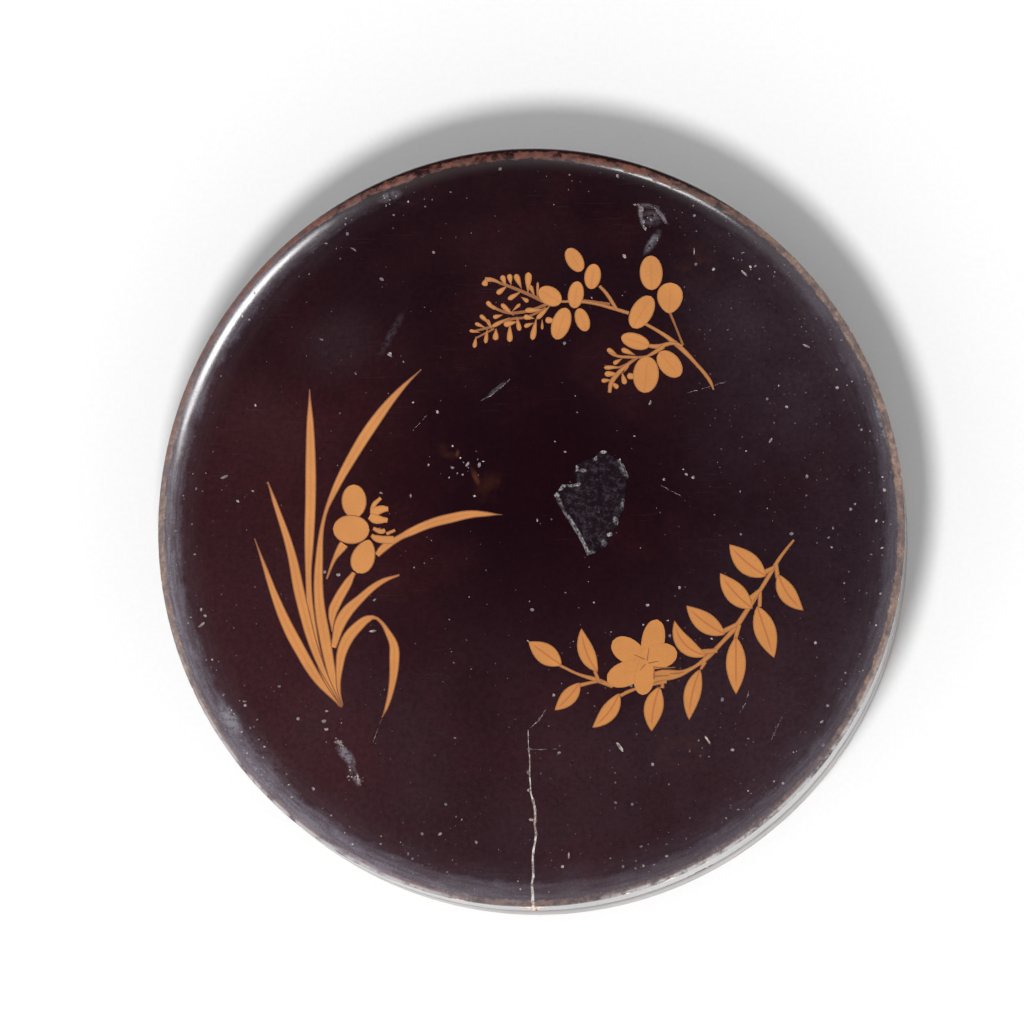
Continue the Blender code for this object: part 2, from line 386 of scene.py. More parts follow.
def laid_on_lid(piece, rise):
    """Presses a flat piece down on the lid's skin, with rise metres left between them."""
    applied(piece, "SHRINKWRAP", target=bpy.data.objects["lid_turned"], wrap_method="PROJECT", use_project_z=True,
            use_negative_direction=True, use_positive_direction=True, wrap_mode="ABOVE_SURFACE", offset=rise)


def joined(name, parts):
    """Several meshes made one object."""
    only(*parts)
    if len(parts) > 1:
        bpy.ops.object.join()
    whole = bpy.context.object
    whole.name = name
    whole.data.name = name
    return whole


def removed(thing):
    """Takes an object out of the file."""
    bpy.data.objects.remove(thing)


def tidied(piece, sharpest=30.0):
    """Smooth shading that keeps the edges sharper than this angle in degrees."""
    only(piece)
    bpy.ops.object.shade_smooth_by_angle(angle=math.radians(sharpest))


# The chip, the crack and the flaked places on the lid

CHIP_OUTLINE = (
    (3.8, 5.1), (5.1, 7.0), (7.5, 7.1), (7.0, 8.9), (7.3, 10.0), (8.9, 10.8), (10.2, 11.2), (11.3, 12.4),
    (12.1, 12.4), (13.1, 11.5), (14.4, 10.8), (15.2, 10.0), (15.8, 8.4), (15.5, 6.8), (15.2, 4.4), (15.0, 2.8),
    (14.2, 0.8), (13.1, -1.5), (12.1, -3.0), (10.4, -4.1), (9.1, -4.6), (8.3, -2.8), (7.3, -0.9), (6.0, 1.2),
    (4.5, 3.5),
)
# The cutter's top lies a millimetre above the skin. Its wall starts this far above the skin and goes down in two
# steps: how far in and down each goes.
CHIP_START = 0.07
CHIP_STEPS = ((0.20, 0.32), (0.16, 0.26))
# How far points are moved at random: in the chip's outline and its floor's, the flakes and the flecks
CHIP_RAGGED, CHIP_ROUGH, FLAKE_RAGGED, FLECK_RAGGED = 0.14, 0.06, 0.1, 0.17

# The crack: x, y and half width of each point
CRACK = (
    (-0.4, -32.4, 0.03), (-0.3, -35.3, 0.05), (-0.15, -36.6, 0.08), (-0.1, -38.4, 0.10), (-0.15, -39.6, 0.12),
    (0.0, -41.2, 0.10), (0.05, -42.6, 0.13), (0.45, -43.8, 0.17), (0.7, -45.0, 0.19), (0.75, -46.3, 0.17),
    (0.65, -47.6, 0.16), (0.9, -49.1, 0.18), (0.7, -50.4, 0.16), (0.45, -51.8, 0.18), (0.35, -53.2, 0.17),
    (0.4, -54.8, 0.17), (0.45, -55.8, 0.20), (0.2, -57.1, 0.19), (0.3, -58.4, 0.22), (0.3, -59.6, 0.26),
)
CRACK_HALF_WIDTH_AT_SIDE = 0.30

# Flakes off the rim: angle in degrees, height, and how wide, tall and deep each is
FLAKES = (
    (291.8, 28.3, 2.1, 0.9, 0.30), (298.0, 28.2, 0.9, 0.8, 0.16), (258.8, 28.3, 2.2, 0.9, 0.28),
    (296.4, 16.2, 3.2, 2.6, 0.30), (294.7, 15.8, 1.8, 1.2, 0.26), (298.2, 16.0, 1.6, 1.5, 0.24),
    (268.9, 27.2, 2.2, 2.4, 0.28), (270.9, 27.0, 2.6, 2.8, 0.28), (269.7, 25.6, 2.8, 2.4, 0.28),
    (270.5, 24.2, 1.9, 2.6, 0.26), (269.6, 22.8, 1.5, 2.8, 0.24), (270.4, 20.7, 1.1, 2.9, 0.22),
    (269.9, 18.0, 0.8, 3.4, 0.20),
    (285.0, 28.6, 0.8, 0.4, 0.16), (31.0, 28.5, 0.9, 0.5, 0.14), (205.0, 28.6, 0.6, 0.4, 0.16),
    (188.0, 28.6, 0.5, 0.4, 0.14), (137.0, 28.55, 0.5, 0.4, 0.12), (8.0, 28.5, 0.8, 0.5, 0.15),
    (349.0, 28.5, 0.7, 0.4, 0.14),
)


def chip_cutter(finish):
    """A block with the chip's ragged outline, a wall broken in two steps and a flat underside."""
    middle = [sum(point[k] for point in CHIP_OUTLINE) / len(CHIP_OUTLINE) for k in (0, 1)]
    above = lid_height(*middle) + MM
    start = [(x * MM, y * MM, above) for x, y in CHIP_OUTLINE]
    cutter = drawn("chip_cutter", start + start[:1])
    everything()
    bpy.ops.mesh.remove_doubles(threshold=MM / 100)
    bpy.ops.mesh.subdivide(number_cuts=3)
    bpy.ops.transform.vertex_random(offset=CHIP_RAGGED * MM, seed=7)
    bpy.ops.mesh.edge_face_add()
    bpy.ops.transform.resize(value=(1, 1, 0), center_override=(0, 0, above))
    bpy.ops.mesh.extrude_region_move(TRANSFORM_OT_translate={"value": (0, 0, (CHIP_START - 1) * MM)})
    for inward, down in CHIP_STEPS:
        bpy.ops.mesh.inset(thickness=inward * MM, depth=0.0)
        bpy.ops.transform.translate(value=(0, 0, -down * MM))
    bpy.ops.transform.vertex_random(offset=CHIP_ROUGH * MM, seed=3)
    bpy.ops.transform.resize(value=(1, 1, 0))
    everything()
    bpy.ops.mesh.normals_make_consistent(inside=False)
    mode("OBJECT")
    cutter.data.materials.append(finish)
    return cutter


def rod(name, points):
    """A closed six-sided rod along points that carry its half width."""
    deselect()
    bpy.ops.curve.primitive_bezier_curve_add()
    line = bpy.context.object
    line.name = name
    data = line.data
    data.splines.clear()
    data.dimensions = "3D"
    data.bevel_depth = MM
    data.bevel_resolution = 1
    data.use_fill_caps = True
    spline = data.splines.new("POLY")
    spline.points.add(len(points) - 1)
    for point, (x, y, z, half) in zip(spline.points, points):
        point.co = (x, y, z, 1.0)
        point.radius = half
    bpy.ops.object.convert(target="MESH")
    piece = bpy.context.object
    mode("EDIT")
    welded(MM / 1000)
    return piece


def crack_cutter(finish):
    """The crack's groove, which runs over the shoulder and down the lid's side."""
    s = sizes()
    front = s.outer_diameter / 2 * (1 + s.oval_front)
    path = [(x * MM, y * MM, lid_height(x, y), half) for x, y, half in CRACK]
    half = CRACK_HALF_WIDTH_AT_SIDE
    path += [(0.3 * MM, -front + 0.02 * MM, shoulder_foot()[1] - 0.2 * MM, half),
             (0.45 * MM, -front, 22.0 * MM, half * 0.6),
             (0.2 * MM, -front, s.lid_rim_height - 0.5 * MM, half * 0.5)]
    cutter = rod("crack_cutter", path)
    cutter.data.materials.append(finish)
    return cutter


def flake_cutters(finish):
    """Small ragged pebbles set where lacquer has flaked off the edges."""
    s = sizes()
    outer = s.outer_diameter / 2
    pebbles = []
    for number, (degrees, height, wide, tall, deep) in enumerate(FLAKES):
        turn = math.radians(degrees)
        stretch = s.oval_back if math.sin(turn) > 0 else s.oval_front
        deselect()
        bpy.ops.mesh.primitive_ico_sphere_add(subdivisions=2, radius=0.5 * MM)
        pebble = bpy.context.object
        mode("EDIT")
        bpy.ops.transform.vertex_random(offset=FLAKE_RAGGED * MM, seed=number)
        bpy.ops.transform.resize(value=(2 * deep, wide, tall), center_override=(0, 0, 0))
        # Without a window, rotate turns the other way
        bpy.ops.transform.rotate(value=-turn, orient_axis="Z", center_override=(0, 0, 0))
        bpy.ops.transform.translate(value=(outer * math.cos(turn), outer * (1 + stretch) * math.sin(turn),
                                           height * MM))
        mode("OBJECT")
        pebble.data.materials.append(finish)
        pebbles.append(pebble)
    return pebbles


# Flecks that stand out in the lid's skin: x, y, length, width and turn in degrees
FLECKS = (
    (14.4, -35.3, 1.9, 0.45, 127), (28.4, -34.2, 1.7, 0.3, 124), (-49.3, 8.4, 1.4, 0.4, 23),
    (-25.3, -16.5, 1.1, 0.4, 7), (-8.2, 10.1, 0.8, 0.5, 74), (-10.1, 10.2, 0.9, 0.4, 58),
    (-12.5, 9.7, 0.5, 0.4, 0), (-52.8, -15.3, 1.2, 0.45, 38), (-52.2, -13.9, 0.6, 0.4, 147),
    (-52.9, -12.9, 0.6, 0.3, 88), (15.1, 43.7, 0.7, 0.5, 131), (-33.1, -30.9, 0.7, 0.6, 0),
    (-32.7, -32.2, 0.6, 0.5, 0), (-32.7, -29.3, 0.5, 0.3, 0), (30.7, -27.7, 0.7, 0.45, 90),
    (-23.9, 40.2, 0.7, 0.5, 152), (-30.8, -7.4, 0.6, 0.55, 0), (-14.5, -49.0, 0.6, 0.5, 42),
    (46.6, -31.2, 0.6, 0.4, 38), (18.8, -12.5, 0.5, 0.5, 0), (41.8, -1.1, 0.6, 0.5, 0),
    (0.3, -13.2, 0.6, 0.5, 163), (6.1, -52.5, 1.0, 0.3, 85), (19.5, -38.0, 0.5, 0.5, 0),
    (44.3, 8.1, 0.5, 0.5, 0), (-17.4, -49.0, 0.5, 0.45, 0), (-22.6, 27.9, 0.9, 0.3, 147),
    (-19.2, 5.2, 0.6, 0.3, 91), (32.3, -35.7, 0.6, 0.4, 0), (-37.3, -30.5, 0.5, 0.5, 0),
    (4.6, -36.1, 0.5, 0.5, 0), (-15.6, 44.5, 0.5, 0.5, 120), (-29.5, 47.6, 0.5, 0.5, 0),
    (-45.8, -28.3, 0.5, 0.4, 25), (-13.6, -44.3, 0.5, 0.4, 0), (17.7, -51.1, 0.5, 0.35, 9),
    (-14.9, 18.7, 0.5, 0.35, 99), (-40.3, -25.3, 0.5, 0.3, 13), (44.3, 29.1, 1.2, 0.35, 153),
    (45.6, -18.6, 0.5, 0.4, 97), (35.3, 41.9, 0.5, 0.4, 113), (34.3, 40.9, 1.3, 0.4, 133),
    (-33.6, 30.5, 0.6, 0.3, 152), (51.3, 2.8, 0.5, 0.4, 90), (-28.5, 45.1, 1.0, 0.3, 146),
    (38.5, 13.9, 0.9, 0.3, 60), (19.2, 20.0, 0.8, 0.3, 71), (26.3, 44.5, 1.1, 0.25, 89),
    (1.1, 1.2, 0.5, 0.3, 92), (-0.2, -35.5, 0.5, 0.45, 0), (-0.3, -39.2, 0.65, 0.6, 90),
    (-0.25, -42.1, 0.6, 0.55, 0), (0.4, -43.7, 0.6, 0.5, 60), (0.8, -45.3, 0.6, 0.45, 80),
    (0.05, -46.8, 0.8, 0.4, 0), (0.75, -47.0, 0.5, 0.4, 0), (0.95, -49.2, 0.6, 0.4, 90),
)

# Scratches and rubbed lines: the points that each passes, with its width there
SCRATCHES = (
    ((-3.5, 23.7, 0.08), (-4.6, 22.7, 0.12), (-6.2, 21.4, 0.12), (-7.9, 20.5, 0.06)),
    ((-0.1, -35.5, 0.08), (1.6, -35.6, 0.08), (4.1, -35.5, 0.06)),
    ((-23.9, -30.6, 0.08), (-25.2, -34.2, 0.06)), ((0.2, -31.9, 0.08), (1.2, -31.1, 0.22), (2.2, -29.6, 0.08)),
    ((33.6, -29.6, 0.06), (34.4, -28.2, 0.18), (34.9, -26.6, 0.06)),
    ((51.1, 32.0, 0.08), (51.5, 30.4, 0.25), (51.6, 28.4, 0.08)),
    ((16.5, 52.1, 0.15), (17.3, 52.0, 0.35), (17.7, 51.6, 0.45), (17.8, 50.4, 0.45), (17.9, 49.8, 0.2)),
    ((18.1, 49.4, 0.2), (18.2, 48.9, 0.35), (18.6, 47.8, 0.45)),
    ((18.6, 52.0, 0.12), (20.0, 51.6, 0.18), (20.6, 50.6, 0.3), (21.3, 50.0, 0.3), (21.8, 49.1, 0.5)),
    ((-31.2, -33.4, 0.2), (-30.2, -34.9, 0.6), (-29.2, -36.0, 0.3)), ((-27.9, -38.9, 0.15), (-27.4, -41.0, 0.35)),
    ((38.5, -34.0, 0.06), (40.2, -30.6, 0.08)), ((24.8, 21.5, 0.06), (31.2, 23.3, 0.06)),
    ((-18.8, 15.8, 0.06), (-16.7, 18.1, 0.08)), ((20.8, 6.8, 0.06), (24.0, 5.1, 0.06)),
)

# Groups of flecks strewn at random: how many, x, y, half length, half width, turn in degrees, smallest and largest
STREWN = (
    (16, -29.3, -37.6, 4.4, 1.3, 118.0, 0.12, 0.4), (6, 19.5, 49.8, 2.3, 1.2, 0.0, 0.12, 0.3),
    (5, 19.6, 46.0, 2.0, 0.5, 57.0, 0.12, 0.3), (14, -10.5, 10.0, 3.4, 2.8, 0.0, 0.12, 0.35),
    (9, -22.8, 53.2, 1.6, 1.0, 20.0, 0.15, 0.45), (24, -47.0, -33.0, 6.5, 4.0, 120.0, 0.12, 0.4),
)
# Flecks strewn over the whole lid: how many, and how far out they lie at least and at most
FIELD_FLECKS = (150, 8.0, 54.0)
RIM_FLECKS = (230, 54.0, 58.6)
FURTHEST_FLECK = 58.8
# Millimetres of a scratch for each of its flecks
SCRATCH_STEP = 0.35
FLECK_SEED = 11


def fleck(patterns, draw, x, y, long, wide, degrees):
    """One of the ragged discs copied, stretched and turned over its place on the lid, or none past the edge."""
    if math.hypot(x, y) > FURTHEST_FLECK:
        return None
    copy = draw.choice(patterns).copy()
    copy.data = copy.data.copy()
    bpy.context.collection.objects.link(copy)
    place = Matrix.Translation((x * MM, y * MM, sizes().total_height))
    turn = Matrix.Rotation(math.radians(degrees), 4, "Z")
    copy.data.transform(place @ turn @ Matrix.Diagonal((long, wide, 1.0, 1.0)))
    return copy


def fleck_patterns():
    """Four flat discs a millimetre across with ragged edges."""
    patterns = []
    for number in range(4):
        deselect()
        bpy.ops.mesh.primitive_circle_add(vertices=9, radius=0.5 * MM, fill_type="TRIFAN")
        mode("EDIT")
        everything()
        bpy.ops.transform.vertex_random(offset=FLECK_RAGGED * MM, seed=number)
        bpy.ops.transform.resize(value=(1, 1, 0), center_override=(0, 0, 0))
        mode("OBJECT")
        patterns.append(bpy.context.object)
    return patterns


def scratch(patterns, draw, points):
    """A scratch as a broken row of long flecks along its points."""
    flecks = []
    for (x, y, wide), (next_x, next_y, next_wide) in zip(points, points[1:]):
        reach = math.hypot(next_x - x, next_y - y)
        heading = math.degrees(math.atan2(next_y - y, next_x - x))
        for _ in range(math.ceil(reach / SCRATCH_STEP)):
            t = draw.random()
            here = wide + (next_wide - wide) * t
            flecks.append(fleck(patterns, draw, x + (next_x - x) * t + draw.gauss(0.0, here / 4),
                                y + (next_y - y) * t + draw.gauss(0.0, here / 4), draw.uniform(0.35, 0.8),
                                here * draw.uniform(0.5, 0.9), heading + draw.gauss(0.0, 9.0)))
    return flecks


def strewn_flecks(patterns, draw):
    """Flecks in scuffed groups, over the field and along the shoulder, more of them to the right and in front."""
    flecks = []
    for count, x, y, half_long, half_wide, degrees, least, most in STREWN:
        turn = math.radians(degrees)
        for _ in range(count):
            along = half_long * draw.uniform(-1.0, 1.0)
            aside = half_wide * draw.gauss(0.0, 0.5)
            place_x = x + along * math.cos(turn) - aside * math.sin(turn)
            place_y = y + along * math.sin(turn) + aside * math.cos(turn)
            long = draw.uniform(least, most)
            flecks.append(fleck(patterns, draw, place_x, place_y, long, long * draw.uniform(0.5, 0.9),
                                draw.uniform(0.0, 180.0)))
    for count, nearest, furthest in (FIELD_FLECKS, RIM_FLECKS):
        made = 0
        while made < count:
            radius = draw.uniform(nearest, furthest)
            turn = draw.uniform(0.0, 2 * math.pi)
            x, y = radius * math.cos(turn), radius * math.sin(turn)
            lean = 0.45 + 0.35 * radius / furthest + 0.25 * math.cos(turn + math.radians(35.0))
            if draw.random() > lean:
                continue
            long = 0.13 + 0.42 * draw.random() ** 2.5
            flecks.append(fleck(patterns, draw, x, y, long, long * draw.uniform(0.45, 1.0),
                                draw.uniform(0.0, 180.0)))
            made += 1
    return flecks


# The gold sprays

ROWS_ACROSS = 4
# Share of a stroke's width that is gold, since a darker rim of lacquer runs round it
STROKE_SHARE = 0.94
# Points along a leaf's middle, and the width in millimetres that it keeps at its ends
LEAF_STEPS = 12
LEAST_WIDTH = 0.02


def strip(points, rows):
    """A flat strip: a grid bent along a curve, whose points carry their place and the strip's full width."""
    deselect()
    bpy.ops.curve.primitive_bezier_curve_add()
    spine = bpy.context.object
    data = spine.data
    data.dimensions = "3D"
    data.twist_mode = "Z_UP"
    data.use_stretch = True
    data.use_deform_bounds = True
    data.resolution_u = 8
    line = data.splines[0]
    line.radius_interpolation = "CARDINAL"
    line.bezier_points.add(len(points) - 2)
    for knot, (x, y, wide) in zip(line.bezier_points, points):
        knot.co = (x * MM, y * MM, lid_height(x, y))
        knot.handle_left_type = knot.handle_right_type = "AUTO"
        knot.radius = wide * STROKE_SHARE
    bpy.ops.mesh.primitive_grid_add(x_subdivisions=rows, y_subdivisions=ROWS_ACROSS, size=MM)
    flat = bpy.context.object
    applied(flat, "CURVE", object=spine, deform_axis="POS_X")
    removed(spine)
    return flat


def stroke(points, lines, layer, rows=24):
    """One stroke of gold, laid over the strokes of lower layers.

    Every vertex carries how far it is in millimetres from the stroke's edge and from its middle line, and lines
    carries how strongly the outline and the vein are drawn and how much the powder is mixed with brown.
    """
    s = sizes()
    gold = strip(points, rows)
    mesh = gold.data
    span = rows + 1
    place = []
    for number in range(len(mesh.vertices)):
        row, column = divmod(number, span)
        wide = (mesh.vertices[column].co - mesh.vertices[column + ROWS_ACROSS * span].co).length / MM
        from_middle = abs(row / ROWS_ACROSS - 0.5) * wide
        place += (wide / 2 - from_middle, from_middle, 0.0)
    laid_on_lid(gold, s.gold_rise + layer * s.gold_layer)
    for name, values in (("stroke_place", place), ("stroke_lines", lines * len(mesh.vertices))):
        mesh.attributes.new(name, "FLOAT_VECTOR", "POINT").data.foreach_set("vector", values)
    return gold


def strokes_along(table, lines, layer, rows=24):
    """A stroke along each row of points of a table, each on the layer above the one before it."""
    return [stroke(points, lines, layer + number, rows) for number, points in enumerate(table)]


def half_width(kind, t):
    """Half width of a leaf or petal, from 0 to 1, at the share t of its length."""
    if kind == "round":
        return math.sqrt(max(0.0, 1 - (2 * t - 1) ** 2))
    if kind == "drop":
        return math.sqrt(max(0.0, 1 - (2 * t ** 1.7 - 1) ** 2)) * (0.45 + 0.55 * t) / 0.92
    if kind == "petal":
        return math.sqrt(max(0.0, 1 - (2 * t ** 1.25 - 1) ** 2))
    return math.sin(math.pi * t ** 0.9) ** 0.85


def leaf(base, tip, width, kind, lines, layer, bend=0.0, rows=28):
    """A leaf, petal or floret from its base to its tip, bent sideways by a share of its length."""
    (base_x, base_y), (tip_x, tip_y) = base, tip
    dx, dy = tip_x - base_x, tip_y - base_y
    points = []
    for i in range(LEAF_STEPS + 1):
        t = (1 - math.cos(math.pi * i / LEAF_STEPS)) / 2
        side = 4 * t * (1 - t) * bend
        points.append((base_x + dx * t - dy * side, base_y + dy * t + dx * side,
                       max(LEAST_WIDTH, width * half_width(kind, t))))
    return stroke(points, lines, layer, rows)


def spray(name, strokes):
    """Joins a spray's strokes, gives them their thickness and lets them ride on the box."""
    piece = joined(name, strokes)
    applied(piece, "SOLIDIFY", thickness=sizes().gold_body, offset=-1.0, use_rim=True)
    piece.data.materials.append(sprinkled_gold())
    tidied(piece, 40.0)
    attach(piece, ROOT)


# How strongly the outline and the vein are drawn, and the share of brown
BLADE_LINES = (0.9, 0.3, 0.0)
PETAL_LINES = (0.8, 0.0, 0.0)
FLOWER_PETAL_LINES = (0.12, 0.0, 0.0)
ROUND_LEAF_LINES = (0.45, 0.28, 0.0)
BRANCH_LEAF_LINES = (0.5, 0.8, 0.0)
FLORET_LINES = (0.45, 0.0, 0.0)
STEM_LINES = (0.6, 0.0, 0.2)
STALK_LINES = (0.35, 0.0, 0.7)

# The orchid's blades from back to front: x, y and width of the points that each passes
BLADES = (
    ((-35.5, 22.5, 0.2), (-35.4, 17.5, 1.2), (-35.3, 11.1, 1.8), (-35.3, 4.6, 1.9), (-35.5, -1.8, 1.7),
     (-35.6, -8.2, 1.1), (-35.0, -15.5, 1.4), (-33.1, -23.5, 1.1), (-30.7, -28.5, 0.3)),
    ((-17.5, 25.6, 0.2), (-20.9, 22.3, 1.0), (-24.9, 17.3, 1.9), (-28.6, 11.5, 1.8), (-31.5, 6.0, 1.2),
     (-33.1, 1.8, 0.7), (-33.9, -5.0, 1.4), (-33.9, -11.5, 1.8), (-32.9, -17.9, 2.0), (-31.6, -24.4, 1.4),
     (-30.7, -28.0, 0.8)),
    ((-42.2, 7.6, 0.3), (-41.2, 4.7, 0.8), (-38.5, -3.5, 1.5), (-36.8, -11.4, 1.9), (-34.0, -21.0, 1.3),
     (-30.2, -28.7, 0.3)),
    ((-44.3, -1.5, 0.2), (-42.6, -6.3, 0.8), (-40.9, -11.1, 1.4), (-39.0, -15.6, 1.9), (-37.1, -19.2, 2.0),
     (-34.1, -24.2, 1.6), (-30.4, -28.6, 0.3)),
    ((-24.6, -4.3, 1.0), (-23.6, -3.2, 1.4), (-20.8, -1.4, 1.1), (-19.4, -0.7, 1.4), (-16.1, 0.7, 1.6),
     (-12.7, 1.6, 1.7), (-9.5, 2.2, 1.4), (-6.8, 2.2, 0.8), (-4.5, 2.1, 0.1)),
    ((-21.0, -7.5, 0.4), (-23.9, -8.6, 1.0), (-27.2, -11.2, 1.5), (-30.1, -14.4, 2.1), (-31.6, -19.1, 1.1)),
    ((-30.1, -28.4, 0.3), (-30.7, -26.0, 0.7), (-30.7, -23.1, 1.2), (-29.7, -18.4, 2.0), (-27.4, -15.5, 1.8),
     (-26.0, -14.5, 1.3), (-25.0, -14.3, 0.7), (-23.9, -15.1, 0.7), (-22.8, -16.8, 1.1), (-21.9, -18.8, 1.6),
     (-21.8, -20.8, 1.8), (-22.1, -24.7, 1.3), (-23.1, -28.8, 0.7), (-23.8, -30.4, 0.2)),
    ((-28.3, -7.1, 0.8), (-29.2, -8.6, 1.5), (-31.0, -11.7, 1.8), (-31.7, -13.4, 1.6), (-31.8, -16.6, 0.3)),
    ((-29.9, -2.5, 1.7), (-30.6, -3.5, 1.4), (-31.4, -4.8, 0.8), (-32.7, -8.1, 0.4)),
)

# The orchid's petals: base, tip, width and shape
ORCHID_PETALS = (
    ((-28.2, 1.7), (-28.4, 7.1), 4.3, "round"), ((-31.7, 0.0), (-25.8, -0.3), 5.0, "round"),
    ((-25.8, -1.8), (-27.7, -7.2), 4.1, "petal"),
)

# The fingers of its lip
ORCHID_LIP = (
    ((-24.0, 4.9, 0.6), (-25.2, 3.6, 0.8), (-25.5, 1.5, 0.4)),
    ((-25.4, 2.5, 1.7), (-23.7, 3.1, 1.3), (-22.8, 3.1, 0.8)),
    ((-25.8, 2.0, 1.2), (-24.8, 1.5, 1.6), (-22.9, 1.3, 0.8)),
    ((-25.2, 0.0, 0.6), (-23.9, -0.5, 0.9), (-23.3, -0.3, 0.7)), ((-23.1, -0.9, 0.6), (-21.7, -0.3, 0.5)),
    ((-25.5, -1.1, 0.6), (-24.7, -1.6, 1.2), (-22.0, -1.9, 1.4)),
)

# The clover's leaves: base, tip, width and shape
CLOVER_LEAVES = (
    ((8.2, 41.3), (6.0, 45.0), 2.8, "round"), ((9.7, 38.4), (10.3, 42.5), 2.8, "round"),
    ((7.0, 35.3), (7.6, 39.7), 2.7, "round"), ((4.1, 30.3), (5.8, 35.4), 3.2, "round"),
    ((9.0, 31.6), (7.7, 35.3), 2.4, "round"), ((4.9, 36.2), (1.4, 38.4), 3.2, "round"),
    ((19.5, 38.2), (19.3, 43.8), 3.9, "round"), ((22.3, 34.4), (22.5, 39.4), 4.4, "petal"),
    ((16.4, 32.1), (19.4, 37.2), 3.7, "round"), ((19.1, 29.2), (14.6, 30.7), 2.7, "round"),
    ((18.3, 21.6), (18.8, 27.5), 4.4, "round"), ((20.7, 28.2), (24.0, 24.3), 3.6, "round"),
)

# Its gold stems
CLOVER_STEMS = (
    ((29.4, 22.1, 0.3), (28.8, 23.5, 0.6), (26.4, 26.5, 0.6), (24.6, 28.4, 0.8), (22.9, 29.9, 0.8),
     (20.8, 31.4, 0.6), (17.6, 33.2, 0.5)),
    ((15.8, 34.5, 0.6), (13.2, 35.3, 0.6), (10.6, 36.0, 0.5), (8.0, 36.4, 0.5), (4.8, 36.4, 0.4)),
    ((-4.9, 39.5, 0.4), (-6.2, 40.0, 0.7), (-7.3, 40.0, 0.9)),
    ((13.9, 35.0, 0.6), (12.2, 37.7, 0.6), (11.1, 38.9, 0.5)),
    ((24.4, 29.1, 0.6), (22.9, 29.6, 0.6), (20.5, 29.1, 0.8), (17.9, 29.4, 0.5)),
    ((21.4, 29.1, 0.8), (19.5, 27.9, 0.6), (18.6, 27.5, 0.4), (16.0, 27.4, 0.5), (13.6, 27.7, 0.5),
     (12.7, 28.3, 0.7)),
    ((17.5, 27.4, 0.2), (15.4, 26.0, 0.6), (13.6, 24.2, 0.8), (13.0, 23.3, 0.8), (12.7, 21.7, 0.6)),
)

# Its thin brown stalks
CLOVER_STALKS = (
    ((24.5, 29.3, 0.4), (23.4, 32.1, 0.35), (22.3, 34.8, 0.45)),
    ((2.6, 36.2, 0.6), (0.6, 37.2, 0.6), (-1.6, 38.2, 0.55), (-3.6, 39.0, 0.5), (-5.0, 39.5, 0.45)),
    ((-7.0, 36.4, 0.3), (-4.2, 34.8, 0.5), (-1.0, 34.8, 0.5), (3.0, 36.1, 0.5)),
    ((-9.2, 31.7, 0.3), (-6.6, 32.3, 0.45), (-3.6, 33.5, 0.5), (-0.4, 34.0, 0.4), (2.5, 35.4, 0.4)),
    ((-8.7, 30.6, 0.3), (-5.8, 32.1, 0.35)), ((12.2, 25.6, 0.3), (14.7, 25.9, 0.4), (17.0, 27.3, 0.4)),
    ((8.5, 36.6, 0.4), (12.8, 36.0, 0.4)),
)

# The florets along its racemes, the upper, the lower and the right one: base, tip and width
CLOVER_FLORETS = (
    ((-7.1, 40.3), (-7.4, 39.0), 1.2), ((-3.9, 39.0), (-4.6, 40.7), 1.0), ((-3.1, 39.1), (-3.4, 40.9), 1.0),
    ((-1.4, 38.5), (-2.4, 40.9), 1.1), ((-0.4, 37.7), (-0.3, 41.2), 1.3), ((1.1, 36.7), (1.2, 39.6), 0.5),
    ((0.7, 37.3), (-0.1, 39.1), 0.8), ((-3.7, 39.0), (-5.4, 37.7), 1.0), ((-1.4, 38.1), (-3.6, 36.8), 0.9),
    ((-1.5, 37.2), (-0.3, 36.4), 0.8),
    ((-5.8, 35.1), (-7.0, 36.5), 0.9), ((-2.6, 34.1), (-4.7, 36.1), 0.9), ((-3.0, 34.8), (-1.6, 36.1), 0.6),
    ((2.2, 35.1), (-0.9, 35.0), 1.0), ((3.3, 35.9), (1.0, 33.6), 0.9), ((0.7, 33.7), (-1.1, 34.0), 1.0),
    ((-4.4, 34.3), (-6.0, 33.9), 0.8), ((-6.5, 32.9), (-8.1, 34.3), 0.8), ((4.3, 33.2), (2.4, 33.5), 1.2),
    ((0.6, 33.0), (-1.0, 32.4), 0.8), ((1.0, 33.9), (0.3, 30.2), 1.1), ((1.9, 33.6), (1.9, 31.9), 0.5),
    ((-2.2, 34.1), (-1.7, 31.7), 0.9), ((-2.0, 33.2), (-4.3, 32.7), 1.1), ((-3.3, 33.9), (-6.2, 32.4), 0.8),
    ((-3.3, 32.9), (-3.3, 29.9), 1.1), ((-5.5, 32.2), (-5.6, 30.2), 1.1), ((-6.9, 32.2), (-7.2, 29.7), 0.8),
    ((-7.1, 32.2), (-8.9, 33.0), 0.7), ((-8.0, 31.5), (-9.8, 31.8), 0.6), ((-8.7, 30.9), (-9.0, 29.0), 0.8),
    ((-4.8, 34.8), (-6.6, 36.0), 0.6), ((-6.1, 31.9), (-7.0, 33.6), 0.7),
    ((14.6, 25.8), (11.8, 25.7), 0.8), ((14.2, 24.7), (11.9, 24.7), 1.1), ((13.1, 23.7), (11.4, 23.6), 0.8),
    ((14.8, 27.2), (13.3, 26.3), 0.8), ((14.7, 25.0), (15.2, 23.0), 1.0), ((13.0, 23.4), (14.1, 22.4), 0.9),
    ((16.9, 27.7), (14.6, 28.7), 1.0), ((14.9, 24.8), (15.8, 26.1), 0.4), ((17.6, 24.1), (15.5, 24.4), 1.2),
    ((13.9, 27.9), (12.3, 28.7), 0.9),
)

